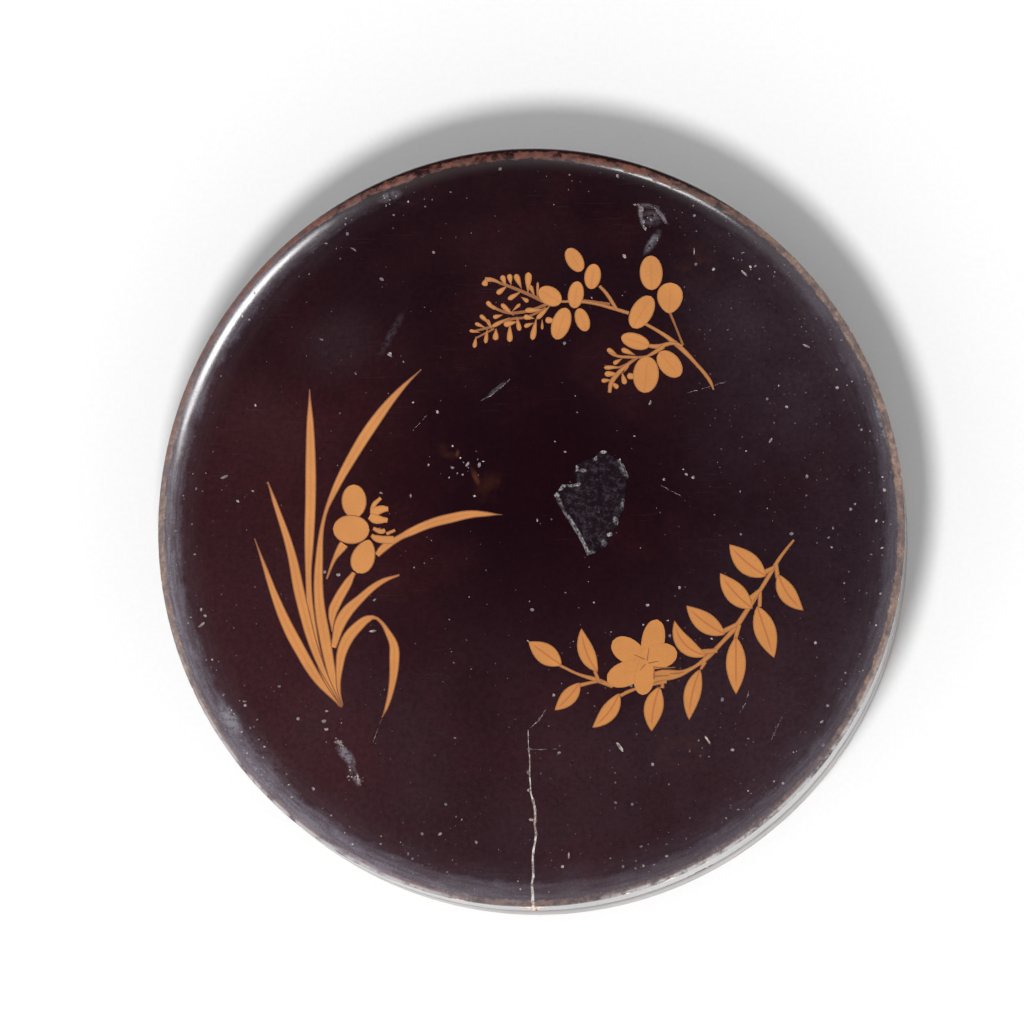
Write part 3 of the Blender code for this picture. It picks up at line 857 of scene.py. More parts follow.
# The blossom branch: its stem, and the stalks of its leaves
BRANCH_STEMS = (
    ((42.2, -2.1, 0.4), (40.0, -4.9, 0.6), (38.3, -7.7, 0.7), (36.7, -10.3, 0.7), (34.8, -13.2, 0.8),
     (32.9, -16.0, 0.9), (30.5, -18.7, 0.7), (28.2, -21.0, 0.9), (26.9, -22.0, 0.6), (25.4, -22.9, 0.7),
     (23.9, -23.5, 1.2), (22.3, -23.7, 1.8), (20.7, -23.8, 1.9), (19.4, -24.3, 1.6)),
    ((13.2, -25.5, 0.7), (10.7, -24.5, 0.8), (7.6, -23.5, 0.5), (4.7, -22.1, 0.5)),
    ((11.7, -24.7, 0.4), (10.3, -24.8, 0.5), (7.9, -25.3, 0.7)),
    ((21.8, -24.7, 0.7), (18.5, -25.5, 0.4), (15.8, -26.3, 0.6), (14.4, -27.0, 0.6)),
    ((11.0, -24.8, 0.6), (10.3, -23.0, 0.6)), ((21.2, -25.0, 0.5), (21.1, -25.8, 0.7)),
    ((27.9, -21.6, 0.8), (27.3, -22.8, 0.45)), ((33.4, -15.7, 0.8), (32.8, -18.0, 0.7)),
    ((36.8, -9.9, 0.6), (36.7, -12.8, 0.7)), ((39.3, -5.8, 0.7), (39.6, -8.2, 0.8)),
    ((39.0, -6.5, 0.6), (37.1, -7.5, 1.0)), ((37.0, -9.9, 0.6), (35.3, -11.6, 1.2)),
    ((32.9, -15.7, 0.7), (30.6, -16.9, 0.9)), ((29.9, -19.8, 0.8), (27.1, -20.1, 1.0)),
)

# Its leaves: base, tip, width and sideways bend
BRANCH_LEAVES = (
    ((37.8, -7.9), (31.9, -2.8), 3.8, 0.05), ((35.6, -13.1), (30.4, -7.4), 3.5, 0.05),
    ((31.2, -17.2), (25.0, -12.6), 3.4, 0.05), ((28.3, -20.6), (23.1, -15.0), 2.8, 0.18),
    ((39.7, -7.6), (43.7, -13.4), 3.0, -0.08), ((36.3, -12.7), (39.0, -21.0), 3.7, 0.0),
    ((32.9, -17.6), (32.9, -26.8), 3.4, 0.0), ((27.2, -22.8), (25.4, -30.9), 2.9, -0.05),
    ((20.7, -25.6), (19.4, -32.7), 3.3, -0.05), ((14.2, -26.6), (9.9, -32.1), 2.8, 0.08),
    ((7.9, -24.9), (3.9, -29.3), 2.7, 0.04), ((10.8, -23.2), (8.2, -16.2), 2.8, 0.08),
    ((5.0, -22.1), (-0.3, -18.3), 3.5, 0.0),
)

# The flower's petals, which cross at its heart
FLOWER_PETALS = (
    ((18.8, -21.9), (13.2, -18.2), 4.2), ((18.8, -22.7), (20.3, -14.8), 3.9), ((16.7, -21.4), (23.5, -20.1), 4.3),
    ((19.4, -21.9), (12.3, -24.7), 4.2), ((18.7, -20.2), (17.9, -26.9), 3.5),
)

# Thin lines drawn in the flower: three at its heart and two over its cup
FLOWER_LINES = (
    ((18.3, -21.2, 0.22), (16.6, -20.4, 0.12)), ((18.7, -21.4, 0.22), (19.0, -19.4, 0.12)),
    ((18.9, -21.8, 0.22), (20.6, -21.5, 0.12)), ((18.4, -22.0, 0.22), (17.6, -22.9, 0.12)),
    ((19.85, -22.4, 0.2), (19.8, -24.4, 0.3)), ((19.7, -22.45, 0.25), (21.4, -22.55, 0.2), (23.2, -22.5, 0.15)),
    ((20.0, -23.9, 0.2), (22.2, -23.8, 0.12)), ((22.4, -23.5, 0.15), (23.8, -23.4, 0.2), (24.6, -23.2, 0.1)),
)


# Materials

# The setting that says what a node of each kind does. It may follow the kind, as in "Math MULTIPLY".
MAIN_SETTING = {"Math": "operation", "VectorMath": "operation", "MapRange": "interpolation_type",
                "Mix": "data_type"}
# Common to the urushi on the lid and on the body
URUSHI_IOR = 1.5
BRUSHED = {"Strength": 0.35, "Distance": 0.04 * MM}


def feed(node, key, value):
    """Feeds one input of a node, by its number among those in use or by name, with a value, a node or a socket."""
    in_use = [s for s in node.inputs if s.enabled]
    socket = in_use[key] if isinstance(key, int) else next(s for s in in_use if s.name == key)
    if isinstance(value, bpy.types.Node):
        value = next(s for s in value.outputs if s.enabled)
    if isinstance(value, bpy.types.NodeSocket):
        node.id_data.links.new(value, socket)
    else:
        socket.default_value = (*value, 1.0) if socket.type == "RGBA" else value


def add_node(tree, kind, *feeds, **settings):
    """Adds a node with its settings. Its inputs are fed in their order, or by name from a dict."""
    kind, _, main = kind.partition(" ")
    node = tree.nodes.new("ShaderNode" + kind)
    if main:
        setattr(node, MAIN_SETTING[kind], main)
    for key, value in settings.items():
        setattr(node, key, value)
    for number, value in enumerate(feeds):
        for key, fed in (value.items() if isinstance(value, dict) else ((number, value),)):
            feed(node, key, fed)
    return node


def material(name):
    """A new material, the function that adds nodes to it, and its shader."""
    new = bpy.data.materials.new(name)
    new.use_nodes = True
    return new, partial(add_node, new.node_tree), new.node_tree.nodes["Principled BSDF"]


def millimetres(add):
    """The place on a piece in millimetres."""
    return add("VectorMath MULTIPLY", add("TexCoord").outputs["Object"], (1 / MM,) * 3)


def from_axis(add, x, y):
    """The distance from the axis with the oval that the wood has taken undone."""
    s = sizes()
    front = add("Math MULTIPLY", add("Math MINIMUM", y, 0.0), 1 / (1 + s.oval_front))
    back = add("Math MAXIMUM", y, 0.0)
    round_y = add("Math MULTIPLY_ADD", back, 1 / (1 + s.oval_back), front)
    return add("VectorMath LENGTH", add("CombineXYZ", x, round_y))


def clouds(add, place, size, low, high, detail=3.0, rough=0.5, least=0.0, most=1.0):
    """Soft clouds about size millimetres across: least where their noise is below low, most where above high."""
    noise = add("TexNoise", {"Vector": place, "Scale": 1.0 / size, "Detail": detail, "Roughness": rough})
    return add("MapRange SMOOTHSTEP", noise, low, high, least, most)


def stain(add, plan, x, y, size, flat=1.0, turn=0.0, strength=1.0, core=0.15):
    """A soft stain on the lid, round or long, at its strongest inside the core's share of its size."""
    at = add("Mapping", {"Vector": plan, "Location": (x, y, 0.0), "Rotation": (0.0, 0.0, math.radians(turn)),
                         "Scale": (size, size * flat, 1.0)}, vector_type="TEXTURE")
    away = add("VectorMath LENGTH", at)
    return add("MapRange SMOOTHSTEP", away, 1.0, core, 0.0, strength)


def stains(add, plan, places):
    """The strongest of several stains at each point."""
    whole = 0.0
    for each in places:
        whole = add("Math MAXIMUM", stain(add, plan, *each), whole)
    return whole


def specks(add, plan, cell, chance, largest):
    """Round specks in some of the cells of a grid of cell millimetres; chance is a value or a node, 0 to 1."""
    grid = add("TexVoronoi", {"Vector": plan, "Scale": 1.0 / cell}, voronoi_dimensions="2D")
    lot = add("SeparateColor", grid.outputs["Color"])
    bar = add("Math SUBTRACT", 1.0, chance)
    size = add("MapRange", lot.outputs["Red"], bar, 1.0, 0.3 * largest / cell, largest / cell)
    core = add("Math MULTIPLY", size, 0.4)
    tone = add("MapRange", lot.outputs["Green"], 0.0, 1.0, 0.2, 1.0)
    inside = add("MapRange SMOOTHSTEP", grid.outputs["Distance"], size, core, 0.0, tone)
    there = add("Math GREATER_THAN", lot.outputs["Red"], bar)
    return add("Math MULTIPLY", inside, there)


def scratches(add, plan, turn, wide, long, bar):
    """Fine straight scratches that lie at one angle, wide and long in millimetres."""
    along = add("Mapping", {"Vector": plan, "Rotation": (0.0, 0.0, math.radians(turn)),
                            "Scale": (1.0 / long, 1.0 / wide, 1.0)})
    noise = add("TexNoise", {"Vector": along, "Scale": 1.0, "Detail": 1.0})
    return add("MapRange SMOOTHSTEP", noise, bar, bar + 0.05)


# Rust-brown stains on the lid: x, y, size, flatness, turn in degrees and strength
RUST_STAINS = (
    (-11.7, 12.3, 1.3, 0.4, 90.0, 0.9), (-12.8, 12.7, 2.6, 0.8, 0.0, 0.2), (-8.8, 8.3, 2.2, 0.3, -68.0, 0.4),
    (-6.5, 6.5, 3.5, 1.0, 0.0, 0.1), (26.5, 42.0, 5.0, 1.0, 0.0, 0.12), (24.3, -35.7, 6.0, 0.7, 0.0, 0.14),
)
# Clouds of haze, part bloom and part painted sheen, the same way
HAZE_AND_SHEEN_CLOUDS = ((41.0, 31.0, 26.0, 1.0, 0.0, 0.5), (-31.3, 29.5, 10.0, 0.8, 40.0, 0.35))
# Films left by rubbing, and the two long thin lines at (56.0, 17.1) and (-28.0, -53.0) that are painted highlights
# on the rim, the same way, with the share of their size that is strongest
FILMS_AND_GLINTS = (
    (17.8, 50.2, 2.4, 0.22, -78.0, 0.5, 0.3), (19.0, 51.8, 2.2, 0.24, -8.0, 0.32, 0.3),
    (21.1, 50.2, 2.0, 0.24, -55.0, 0.5, 0.3), (19.5, 49.9, 2.3, 0.7, 0.0, 0.22, 0.3),
    (19.6, 46.0, 2.9, 0.30, 57.0, 0.42, 0.3), (-29.5, -36.4, 2.6, 0.42, -52.0, 0.55, 0.3),
    (-27.8, -40.3, 1.4, 0.55, -60.0, 0.45, 0.3), (-28.6, -38.6, 1.6, 0.5, -60.0, 0.25, 0.3),
    (-30.8, -34.3, 0.9, 0.4, -5.0, 0.9, 0.3), (-22.3, 31.4, 5.6, 0.16, 61.0, 0.10, 0.1),
    (-48.2, -30.6, 4.0, 0.45, -58.0, 0.6, 0.2), (-44.0, -36.5, 9.0, 0.4, -48.0, 0.16, 0.1),
    (-5.6, 22.2, 2.6, 0.16, 40.0, 0.25, 0.3), (-22.6, 53.6, 2.6, 0.45, 20.0, 0.35, 0.2),
    (56.0, 17.1, 5.0, 0.08, 107.0, 0.55, 0.4), (-28.0, -53.0, 7.5, 0.08, -28.0, 0.8, 0.6),
)


def lid_lacquer():
    """Aged urushi, brushed on in coats and rubbed to a gloss: almost black, redder on the left, hazy at the rim.

    It gives the eye a soft mirror over a deep brown, with dust, wear and a painted sheen on the rolled shoulder
    and over the field's right and front, the brown undercoat worn bare along the arris and a painted highlight on
    its front.
    """
    f = finishes()
    new, add, shader = material("urushi_lacquer_lid")
    place = millimetres(add)
    x, y, z = add("SeparateXYZ", place).outputs
    plan = add("CombineXYZ", x, y)
    radius = from_axis(add, x, y)
    top = add("MapRange SMOOTHSTEP", z, 27.9, 28.3)

    # Redder on the left and in front, in patches
    below = add("MapRange SMOOTHSTEP", y, 40.0, 8.0, 0.12, 0.62)
    leftward = add("MapRange SMOOTHSTEP", x, -8.0, -42.0, 0.0, below)
    forward = add("MapRange SMOOTHSTEP", y, 0.0, -45.0, 0.0, 0.35)
    lean = add("Math ADD", leftward, forward)
    patchy = clouds(add, place, 22.0, 0.42, 0.72, 5.0, 0.6)
    red = add("Math MULTIPLY_ADD", patchy, 0.36, lean, use_clamp=True)
    skin = add("Mix RGBA", red, f.lacquer_dark, f.lacquer_red)
    rust = add("Math MULTIPLY", stains(add, plan, RUST_STAINS), clouds(add, place, 2.5, 0.35, 0.65))
    skin = add("Mix RGBA", rust, skin, f.lacquer_rust)

    # Hazy towards the rim, the right and the front: part bloom in the skin, part painted sheen of the gloss's
    # reflection
    near = add("MapRange SMOOTHSTEP", y, 5.0, -45.0, 0.0, 0.34)
    right = add("MapRange SMOOTHSTEP", x, 8.0, 50.0, 0.0, 0.30)
    outward = add("MapRange SMOOTHSTEP", radius, 12.0, 54.0, 0.0, add("MapRange", y, 52.0, 10.0, 0.05, 0.20))
    bloom_and_sheen = add("Math ADD", add("Math ADD", near, right), outward)
    for cloud in HAZE_AND_SHEEN_CLOUDS:
        bloom_and_sheen = add("Math ADD", bloom_and_sheen, stain(add, plan, *cloud))
    drift = clouds(add, place, 15.0, 0.3, 0.7, 5.0, 0.6, least=0.6, most=1.15)
    haze = add("Math MULTIPLY", bloom_and_sheen, drift, use_clamp=True)
    skin = add("Mix RGBA", haze, skin, f.lacquer_haze_and_sheen)
    mottled = clouds(add, place, 0.8, 0.3, 0.7, 3.0, 0.7, least=0.83, most=1.17)
    skin = add("VectorMath SCALE", skin, mottled)

    # Grey on the shoulder in bands along it, most of it on the left and none at the back: part dust and fine wear,
    # part painted sheen where the shoulder mirrors the pale surround
    front = add("MapRange SMOOTHSTEP", y, 58.0, 40.0)
    to_left = add("MapRange SMOOTHSTEP", x, 8.0, -36.0)
    frayed = add("TexNoise", {"Vector": place, "Scale": 1.0 / 3.0, "Detail": 6.0, "Roughness": 0.7})
    shore = add("Math ADD", add("MapRange", frayed, 0.2, 0.8, -1.0, 1.0), radius)
    shore = add("Math ADD", add("MapRange SMOOTHSTEP", x, 20.0, -25.0, -0.2, 0.35), shore)
    foot = add("MapRange SMOOTHSTEP", radius, 52.0, 56.5, 0.0, 0.09)
    inner = add("MapRange", to_left, 0.0, 1.0, 0.19, 0.36)
    outer = add("MapRange", to_left, 0.0, 1.0, 0.03, 0.34)
    ring = add("Math ADD", add("MapRange SMOOTHSTEP", shore, 56.0, 57.2, 0.0, inner), foot)
    ring = add("Math ADD", ring, add("MapRange SMOOTHSTEP", shore, 57.3, 58.8, 0.0, outer))
    ahead = add("VectorMath NORMALIZE", plan)
    along_rim = add("VectorMath MULTIPLY_ADD", ahead, (12.0,) * 3,
                    add("CombineXYZ", 0.0, 0.0, add("Math MULTIPLY", radius, 2.2)))
    bands = add("TexNoise", {"Vector": along_rim, "Scale": 1.0, "Detail": 3.0, "Roughness": 0.5})
    uneven = add("MapRange SMOOTHSTEP", bands, 0.35, 0.65, 0.72, 1.25)
    gritty = clouds(add, place, 0.35, 0.3, 0.7, 2.0, least=0.8, most=1.2)
    drifting = clouds(add, place, 7.0, 0.32, 0.68, 4.0, least=0.78, most=1.12)
    for factor in (uneven, gritty, drifting, front, top):
        ring = add("Math MULTIPLY", ring, factor)
    dusty_and_sheen = add("Math ADD", ring, 0.0, use_clamp=True)
    skin = add("Mix RGBA", dusty_and_sheen, skin, f.dust_and_sheen_grey)

    # Films left by rubbing, and two thin painted highlight lines on the rim
    film_and_glint = stains(add, plan, FILMS_AND_GLINTS)
    for factor in (clouds(add, place, 0.8, 0.3, 0.62, 4.0, 0.65), top):
        film_and_glint = add("Math MULTIPLY", film_and_glint, factor)
    skin = add("Mix RGBA", film_and_glint, skin, f.film_and_glint)

    # Faint pricks in the skin, denser towards the rim and the right
    often = add("MapRange", bloom_and_sheen, 0.0, 1.0, 0.01, 0.11)
    fine = add("Math MAXIMUM", specks(add, plan, 1.7, often, 0.22), specks(add, plan, 0.8, often, 0.13))
    fine = add("Math MULTIPLY", fine, add("Math MULTIPLY", top, 0.26))
    skin = add("Mix RGBA", fine, skin, f.ground)

    # Hair scratches
    hairs = scratches(add, plan, 12.0, 0.09, 7.0, 0.73)
    for turn, bar in ((68.0, 0.72), (128.0, 0.71)):
        hairs = add("Math MAXIMUM", hairs, scratches(add, plan, turn, 0.09, 12.0, bar))
    for factor in (clouds(add, place, 12.0, 0.45, 0.65), top):
        hairs = add("Math MULTIPLY", hairs, factor)
    skin = add("Mix RGBA", add("Math MULTIPLY", hairs, 0.09), skin, f.dust_and_sheen_grey)

    # The undercoat worn bare along the arris, further in and redder at the back
    back = add("MapRange SMOOTHSTEP", y, 46.0, 57.0)
    ragged = add("TexNoise", {"Vector": place, "Scale": 1.0 / 1.2, "Detail": 4.0, "Roughness": 0.6})
    edge = add("Math ADD", add("MapRange", ragged, 0.0, 1.0, -0.6, 0.6), radius)
    edge = add("Math MULTIPLY_ADD", back, 0.8, edge)
    edge = add("Math ADD", add("MapRange SMOOTHSTEP", x, 22.0, 48.0, 0.0, 0.2), edge)
    bare = add("MapRange SMOOTHSTEP", edge, 60.35, 60.0, 0.0, add("MapRange SMOOTHSTEP", edge, 58.8, 59.2))
    sparing = add("MapRange SMOOTHSTEP", y, -42.0, -16.0, 0.4, 1.0)
    least = add("MapRange", back, 0.0, 1.0, 0.3, 0.0)
    kept = clouds(add, place, 3.0, 0.36, 0.6, 5.0, 0.7, least=least)
    for factor in (kept, sparing, top):
        bare = add("Math MULTIPLY", bare, factor)
    along = add("Math MULTIPLY_ADD", x, -0.35, y)
    brown = add("Mix RGBA", add("MapRange SMOOTHSTEP", along, 56.0, 22.0), f.undercoat, f.undercoat_dusty)
    mottle = clouds(add, place, 0.9, 0.35, 0.7, 3.0, 0.7, least=0.55, most=1.3)
    brown = add("VectorMath SCALE", brown, mottle)
    skin = add("Mix RGBA", bare, skin, brown)

    # A painted highlight: a pale line on the arris in front, where the steep edge mirrors the bright floor
    front_highlight_strength = add("MapRange SMOOTHSTEP", y, -8.0, -38.0, 0.0, 0.75)
    sideways = add("MapRange SMOOTHSTEP", add("Math ABSOLUTE", x), 6.0, 20.0)
    arris = add("MapRange SMOOTHSTEP", radius, 59.3, 59.7, 0.0, front_highlight_strength)
    for factor in (sideways, clouds(add, place, 3.0, 0.34, 0.56, 5.0, 0.7), top):
        arris = add("Math MULTIPLY", arris, factor)
    skin = add("Mix RGBA", arris, skin, f.fresh_break_and_highlight)
    feed(shader, "Base Color", skin)

    # The gloss, duller on the shoulder's band of dust and painted sheen, where rubbed and where bare
    rough = clouds(add, place, 18.0, 0.3, 0.7, 4.0, least=0.12, most=0.17)
    for mask, more in ((dusty_and_sheen, 0.12), (hairs, 0.10), (film_and_glint, 0.35), (bare, 0.35)):
        rough = add("Math MULTIPLY_ADD", mask, more, rough)
    feed(shader, "Roughness", rough)
    relief = add("TexNoise", {"Vector": place, "Scale": 1.0 / 6.0, "Detail": 2.0})
    rubbed = add("Math MULTIPLY", add("MapRange SMOOTHSTEP", radius, 55.5, 58.0, 0.0, 0.16), front)
    height = add("Math MULTIPLY_ADD", clouds(add, place, 0.6, 0.3, 0.7, 2.0, 0.7), rubbed, relief)
    feed(shader, "Normal", add("Bump", {"Height": height, **BRUSHED}))
    feed(shader, "IOR", URUSHI_IOR)
    return new


def body_lacquer():
    """The same urushi on the body, worn brown along the seam and the lower edge.

    It gives the eye the lid's soft mirror again, a little duller from being handled.
    """
    f = finishes()
    new, add, shader = material("urushi_lacquer_body")
    place = millimetres(add)
    x, y, z = add("SeparateXYZ", place).outputs
    radius = from_axis(add, x, y)
    red = clouds(add, place, 24.0, 0.36, 0.7, 4.0)
    skin = add("Mix RGBA", red, f.lacquer_dark, f.lacquer_red)
    haze = clouds(add, place, 9.0, 0.4, 0.75, 5.0, 0.6, most=0.6)
    skin = add("Mix RGBA", haze, skin, f.lacquer_haze_and_sheen)
    ragged = add("TexNoise", {"Vector": place, "Scale": 1.0 / 0.9, "Detail": 4.0, "Roughness": 0.6})
    level = add("Math ADD", add("MapRange", ragged, 0.0, 1.0, -0.5, 0.5), z)
    outside = add("MapRange SMOOTHSTEP", radius, 57.9, 58.3)
    seam = add("MapRange SMOOTHSTEP", level, 14.45, 14.8)
    lower = add("MapRange SMOOTHSTEP", level, 1.55, 1.2)
    bare = add("Math MAXIMUM", seam, lower)
    for factor in (outside, clouds(add, place, 6.0, 0.38, 0.55, 4.0)):
        bare = add("Math MULTIPLY", bare, factor)
    brown = add("Mix RGBA", clouds(add, place, 1.6, 0.4, 0.7, 4.0), f.undercoat, f.undercoat_dusty)
    skin = add("Mix RGBA", bare, skin, brown)
    feed(shader, "Base Color", skin)
    rough = clouds(add, place, 18.0, 0.3, 0.7, 4.0, least=0.13, most=0.2)
    feed(shader, "Roughness", add("Math MULTIPLY_ADD", bare, 0.35, rough))
    relief = add("TexNoise", {"Vector": place, "Scale": 1.0 / 6.0, "Detail": 2.0})
    feed(shader, "Normal", add("Bump", {"Height": relief, **BRUSHED}))
    feed(shader, "IOR", URUSHI_IOR)
    return new


def sprinkled_gold():
    """Gold powder sprinkled on wet lacquer and rubbed: a flat warm ochre with a fine grain.

    The drawing under the powder shows as brown lines along the strokes' edges and soft orange ones down their
    middles. The grain is drawn some times coarser than real powder, which would be too fine to see.
    """
    if "sprinkled_gold" in bpy.data.materials:
        return bpy.data.materials["sprinkled_gold"]
    f = finishes()
    new, add, shader = material("sprinkled_gold")
    place = millimetres(add)
    drawn_at = add("Attribute", attribute_name="stroke_place").outputs["Vector"]
    drawn_as = add("Attribute", attribute_name="stroke_lines").outputs["Vector"]
    from_edge, from_middle, _ = add("SeparateXYZ", drawn_at).outputs
    outline, vein, brown = add("SeparateXYZ", drawn_as).outputs
    along = add("SeparateXYZ", add("UVMap")).outputs["X"]
    line = add("MapRange SMOOTHSTEP", from_edge, 0.26, 0.08, 0.0, outline)
    edge = add("Math MAXIMUM", line, brown)
    reach = add("MapRange SMOOTHSTEP", along, 0.95, 0.7, 0.0, vein)
    middle = add("MapRange SMOOTHSTEP", from_middle, 0.24, 0.04, 0.0, reach)
    grain = add("TexNoise", {"Vector": place, "Scale": 1.0 / 0.22, "Detail": 2.0})
    tone = add("MapRange", grain, 0.3, 0.7, 0.93, 1.06)
    rubbed = clouds(add, place, 5.0, 0.35, 0.7, 4.0, least=0.95, most=1.04)
    powder = add("VectorMath SCALE", f.gold, add("Math MULTIPLY", tone, rubbed))
    powder = add("Mix RGBA", middle, powder, f.vein)
    feed(shader, "Base Color", add("Mix RGBA", edge, powder, f.outline))
    feed(shader, "Metallic", 0.25)
    feed(shader, "Roughness", 0.48)
    feed(shader, "Normal", add("Bump", {"Height": grain, "Strength": 0.3, "Distance": 0.03 * MM}))
    return new


def bare_ground(name, dark, pale, patch, low, high, warmth):
    """Ground of clay and lacquer under the broken skin: chalky and matt, in patches of a size in millimetres.

    It gives the eye a dull pale break beside the gloss.
    """
    new, add, shader = material(name)
    place = millimetres(add)
    tone = add("Mix RGBA", clouds(add, place, patch, low, high, 4.0, 0.6), dark, pale)
    warm = add("Mix RGBA", clouds(add, place, 7.0, 0.55, 0.7, 2.0), tone, finishes().ground_warm)
    feed(shader, "Base Color", add("Mix RGBA", warmth, tone, warm))
    grit = add("TexNoise", {"Vector": place, "Scale": 1.0 / 0.15, "Detail": 3.0})
    feed(shader, "Roughness", add("MapRange", grit, 0.3, 0.7, 0.6, 0.9))
    feed(shader, "Normal", add("Bump", {"Height": grit, "Strength": 0.5, "Distance": 0.05 * MM}))
    return new


# Where the ground in the chip shows pale, the same way
CHIP_PALE = (
    (4.0, 5.2, 0.8, 0.8, 0.0, 0.95, 0.4), (5.1, 6.5, 1.0, 0.4, 40.0, 0.6, 0.5),
    (4.7, 4.2, 1.5, 0.3, -65.0, 0.3, 0.5), (7.2, -0.7, 4.7, 0.16, -60.0, 0.55, 0.7),
    (8.6, -3.2, 1.9, 0.35, -66.0, 0.7, 0.5), (7.5, 7.0, 0.7, 0.6, 10.0, 0.9, 0.4),
    (6.4, 6.8, 0.9, 0.4, -10.0, 0.4, 0.5), (7.4, 9.5, 0.6, 0.8, 90.0, 1.0, 0.5),
    (8.4, 9.2, 0.8, 0.5, 0.0, 0.35, 0.4), (10.4, 11.2, 0.5, 1.0, 0.0, 0.7, 0.5),
    (11.7, 12.3, 0.7, 0.7, 0.0, 1.0, 0.6), (15.0, 9.6, 2.3, 0.35, -62.0, 0.36, 0.5),
    (14.8, 3.7, 1.2, 0.35, 85.0, 0.4, 0.5), (13.7, 1.0, 1.0, 0.5, -70.0, 0.5, 0.5),
    (12.7, -1.1, 0.5, 0.8, 0.0, 0.9, 0.6), (11.8, -2.5, 1.2, 0.5, -50.0, 0.3, 0.3),
    (9.6, -4.0, 1.2, 0.4, -10.0, 0.5, 0.4),
)


def chipped_ground():
    """Stained ground in the chip, rough and nearly black, grey where it is dry and pale where the break is fresh.

    It gives the eye a dark hollow with a glint of broken edge round it.
    """
    f = finishes()
    new, add, shader = material("chipped_ground")
    place = millimetres(add)
    x, y, _ = add("SeparateXYZ", place).outputs
    plan = add("CombineXYZ", x, y)
    blotch = clouds(add, place, 0.9, 0.46, 0.66, 6.0, 0.85)
    tone = add("Mix RGBA", blotch, f.ground_dark, f.ground_dry)
    crumbled = clouds(add, place, 0.5, 0.38, 0.60, 4.0, 0.7)
    fresh = add("Math MULTIPLY", stains(add, plan, CHIP_PALE), crumbled)
    feed(shader, "Base Color", add("Mix RGBA", fresh, tone, f.fresh_break_and_highlight))
    feed(shader, "Roughness", add("MapRange", fresh, 0.0, 1.0, 0.7, 0.9))
    feed(shader, "Specular IOR Level", 0.04)
    grit = add("TexNoise", {"Vector": place, "Scale": 1.0 / 0.35, "Detail": 4.0, "Roughness": 0.65})
    feed(shader, "Normal", add("Bump", {"Height": grit, "Strength": 0.7, "Distance": 0.15 * MM}))
    return new


def studio_paper():
    """Matt white paper with a faint fibre, which gives the eye an even pale floor."""
    new, add, shader = material("studio_paper")
    place = millimetres(add)
    fibre = clouds(add, place, 0.8, 0.3, 0.7, 1.0, least=0.985)
    feed(shader, "Base Color", add("VectorMath SCALE", finishes().paper, fibre))
    feed(shader, "Roughness", 0.9)
    return new


# Operators


class LACQUERBOX_OT_body(bpy.types.Operator):
    """Turns the box body and lacquers it"""

    bl_idname = "lacquer_box.body"
    bl_label = "Box Body"

    def execute(self, context):
        piece = turned("body_turned", body_profile())
        drawn_out(piece)
        piece.data.materials.append(body_lacquer())
        tidied(piece)
        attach(piece, ROOT)
        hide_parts("box_body")
        return {"FINISHED"}


# A lid with fewer faces than this has been lost in the cutting
FEWEST_FACES = 10000


class LACQUERBOX_OT_lid(bpy.types.Operator):
    """Turns the lid, lacquers it and breaks it where the old box is chipped and cracked"""

    bl_idname = "lacquer_box.lid"
    bl_label = "Lid"

    def execute(self, context):
        f = finishes()
        piece = turned("lid_turned", lid_profile())
        drawn_out(piece)
        piece.data.materials.append(lid_lacquer())
        crack = bare_ground("crack_ground", f.crack_stain, f.crack_ground, 0.8, 0.38, 0.6, 0.35)
        flake = bare_ground("flaked_ground", f.flake_orange, f.flake_pale, 0.8, 0.3, 0.6, 0.2)
        # The flakes are cut last, since they overlap one another and the crack
        for cutters in ([chip_cutter(chipped_ground()), crack_cutter(crack)], flake_cutters(flake)):
            cutter = joined("lid_cutters", cutters)
            applied(piece, "BOOLEAN", object=cutter, operation="DIFFERENCE", solver="EXACT", use_self=True,
                    material_mode="TRANSFER")
            removed(cutter)
        if len(piece.data.polygons) < FEWEST_FACES:
            raise RuntimeError("the lid was lost when its damage was cut")
        tidied(piece)
        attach(piece, ROOT)
        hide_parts("lid")
        return {"FINISHED"}


class LACQUERBOX_OT_flecks(bpy.types.Operator):
    """Pricks and scratches the lid's skin down to the pale ground"""

    bl_idname = "lacquer_box.flecks"
    bl_label = "Wear Flecks"

    def execute(self, context):
        s, f = sizes(), finishes()
        draw = random.Random(FLECK_SEED)
        patterns = fleck_patterns()
        flecks = [fleck(patterns, draw, *each) for each in FLECKS] + strewn_flecks(patterns, draw)
        for points in SCRATCHES:
            flecks += scratch(patterns, draw, points)
        flecks = [each for each in flecks if each]
        for pattern in patterns:
            removed(pattern)
        piece = joined("lid_wear_flecks", flecks)
        laid_on_lid(piece, s.fleck_rise)
        applied(piece, "SOLIDIFY", thickness=s.fleck_body, offset=-1.0, use_rim=True)
        piece.data.materials.append(bare_ground("fleck_ground", f.ground_grey, f.ground, 0.9, 0.42, 0.72, 0.2))
        tidied(piece)
        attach(piece, ROOT)
        return {"FINISHED"}


class LACQUERBOX_OT_orchid(bpy.types.Operator):
    """Draws the orchid spray on the left of the lid in gold"""

    bl_idname = "lacquer_box.orchid"
    bl_label = "Orchid Spray"

    def execute(self, context):
        strokes = strokes_along(BLADES, BLADE_LINES, 0, rows=48)
        strokes += [leaf(*petal, PETAL_LINES, 10 + layer) for layer, petal in enumerate(ORCHID_PETALS)]
        strokes += strokes_along(ORCHID_LIP, FLORET_LINES, 14, rows=14)
        spray("lid_orchid_gold", strokes)
        return {"FINISHED"}


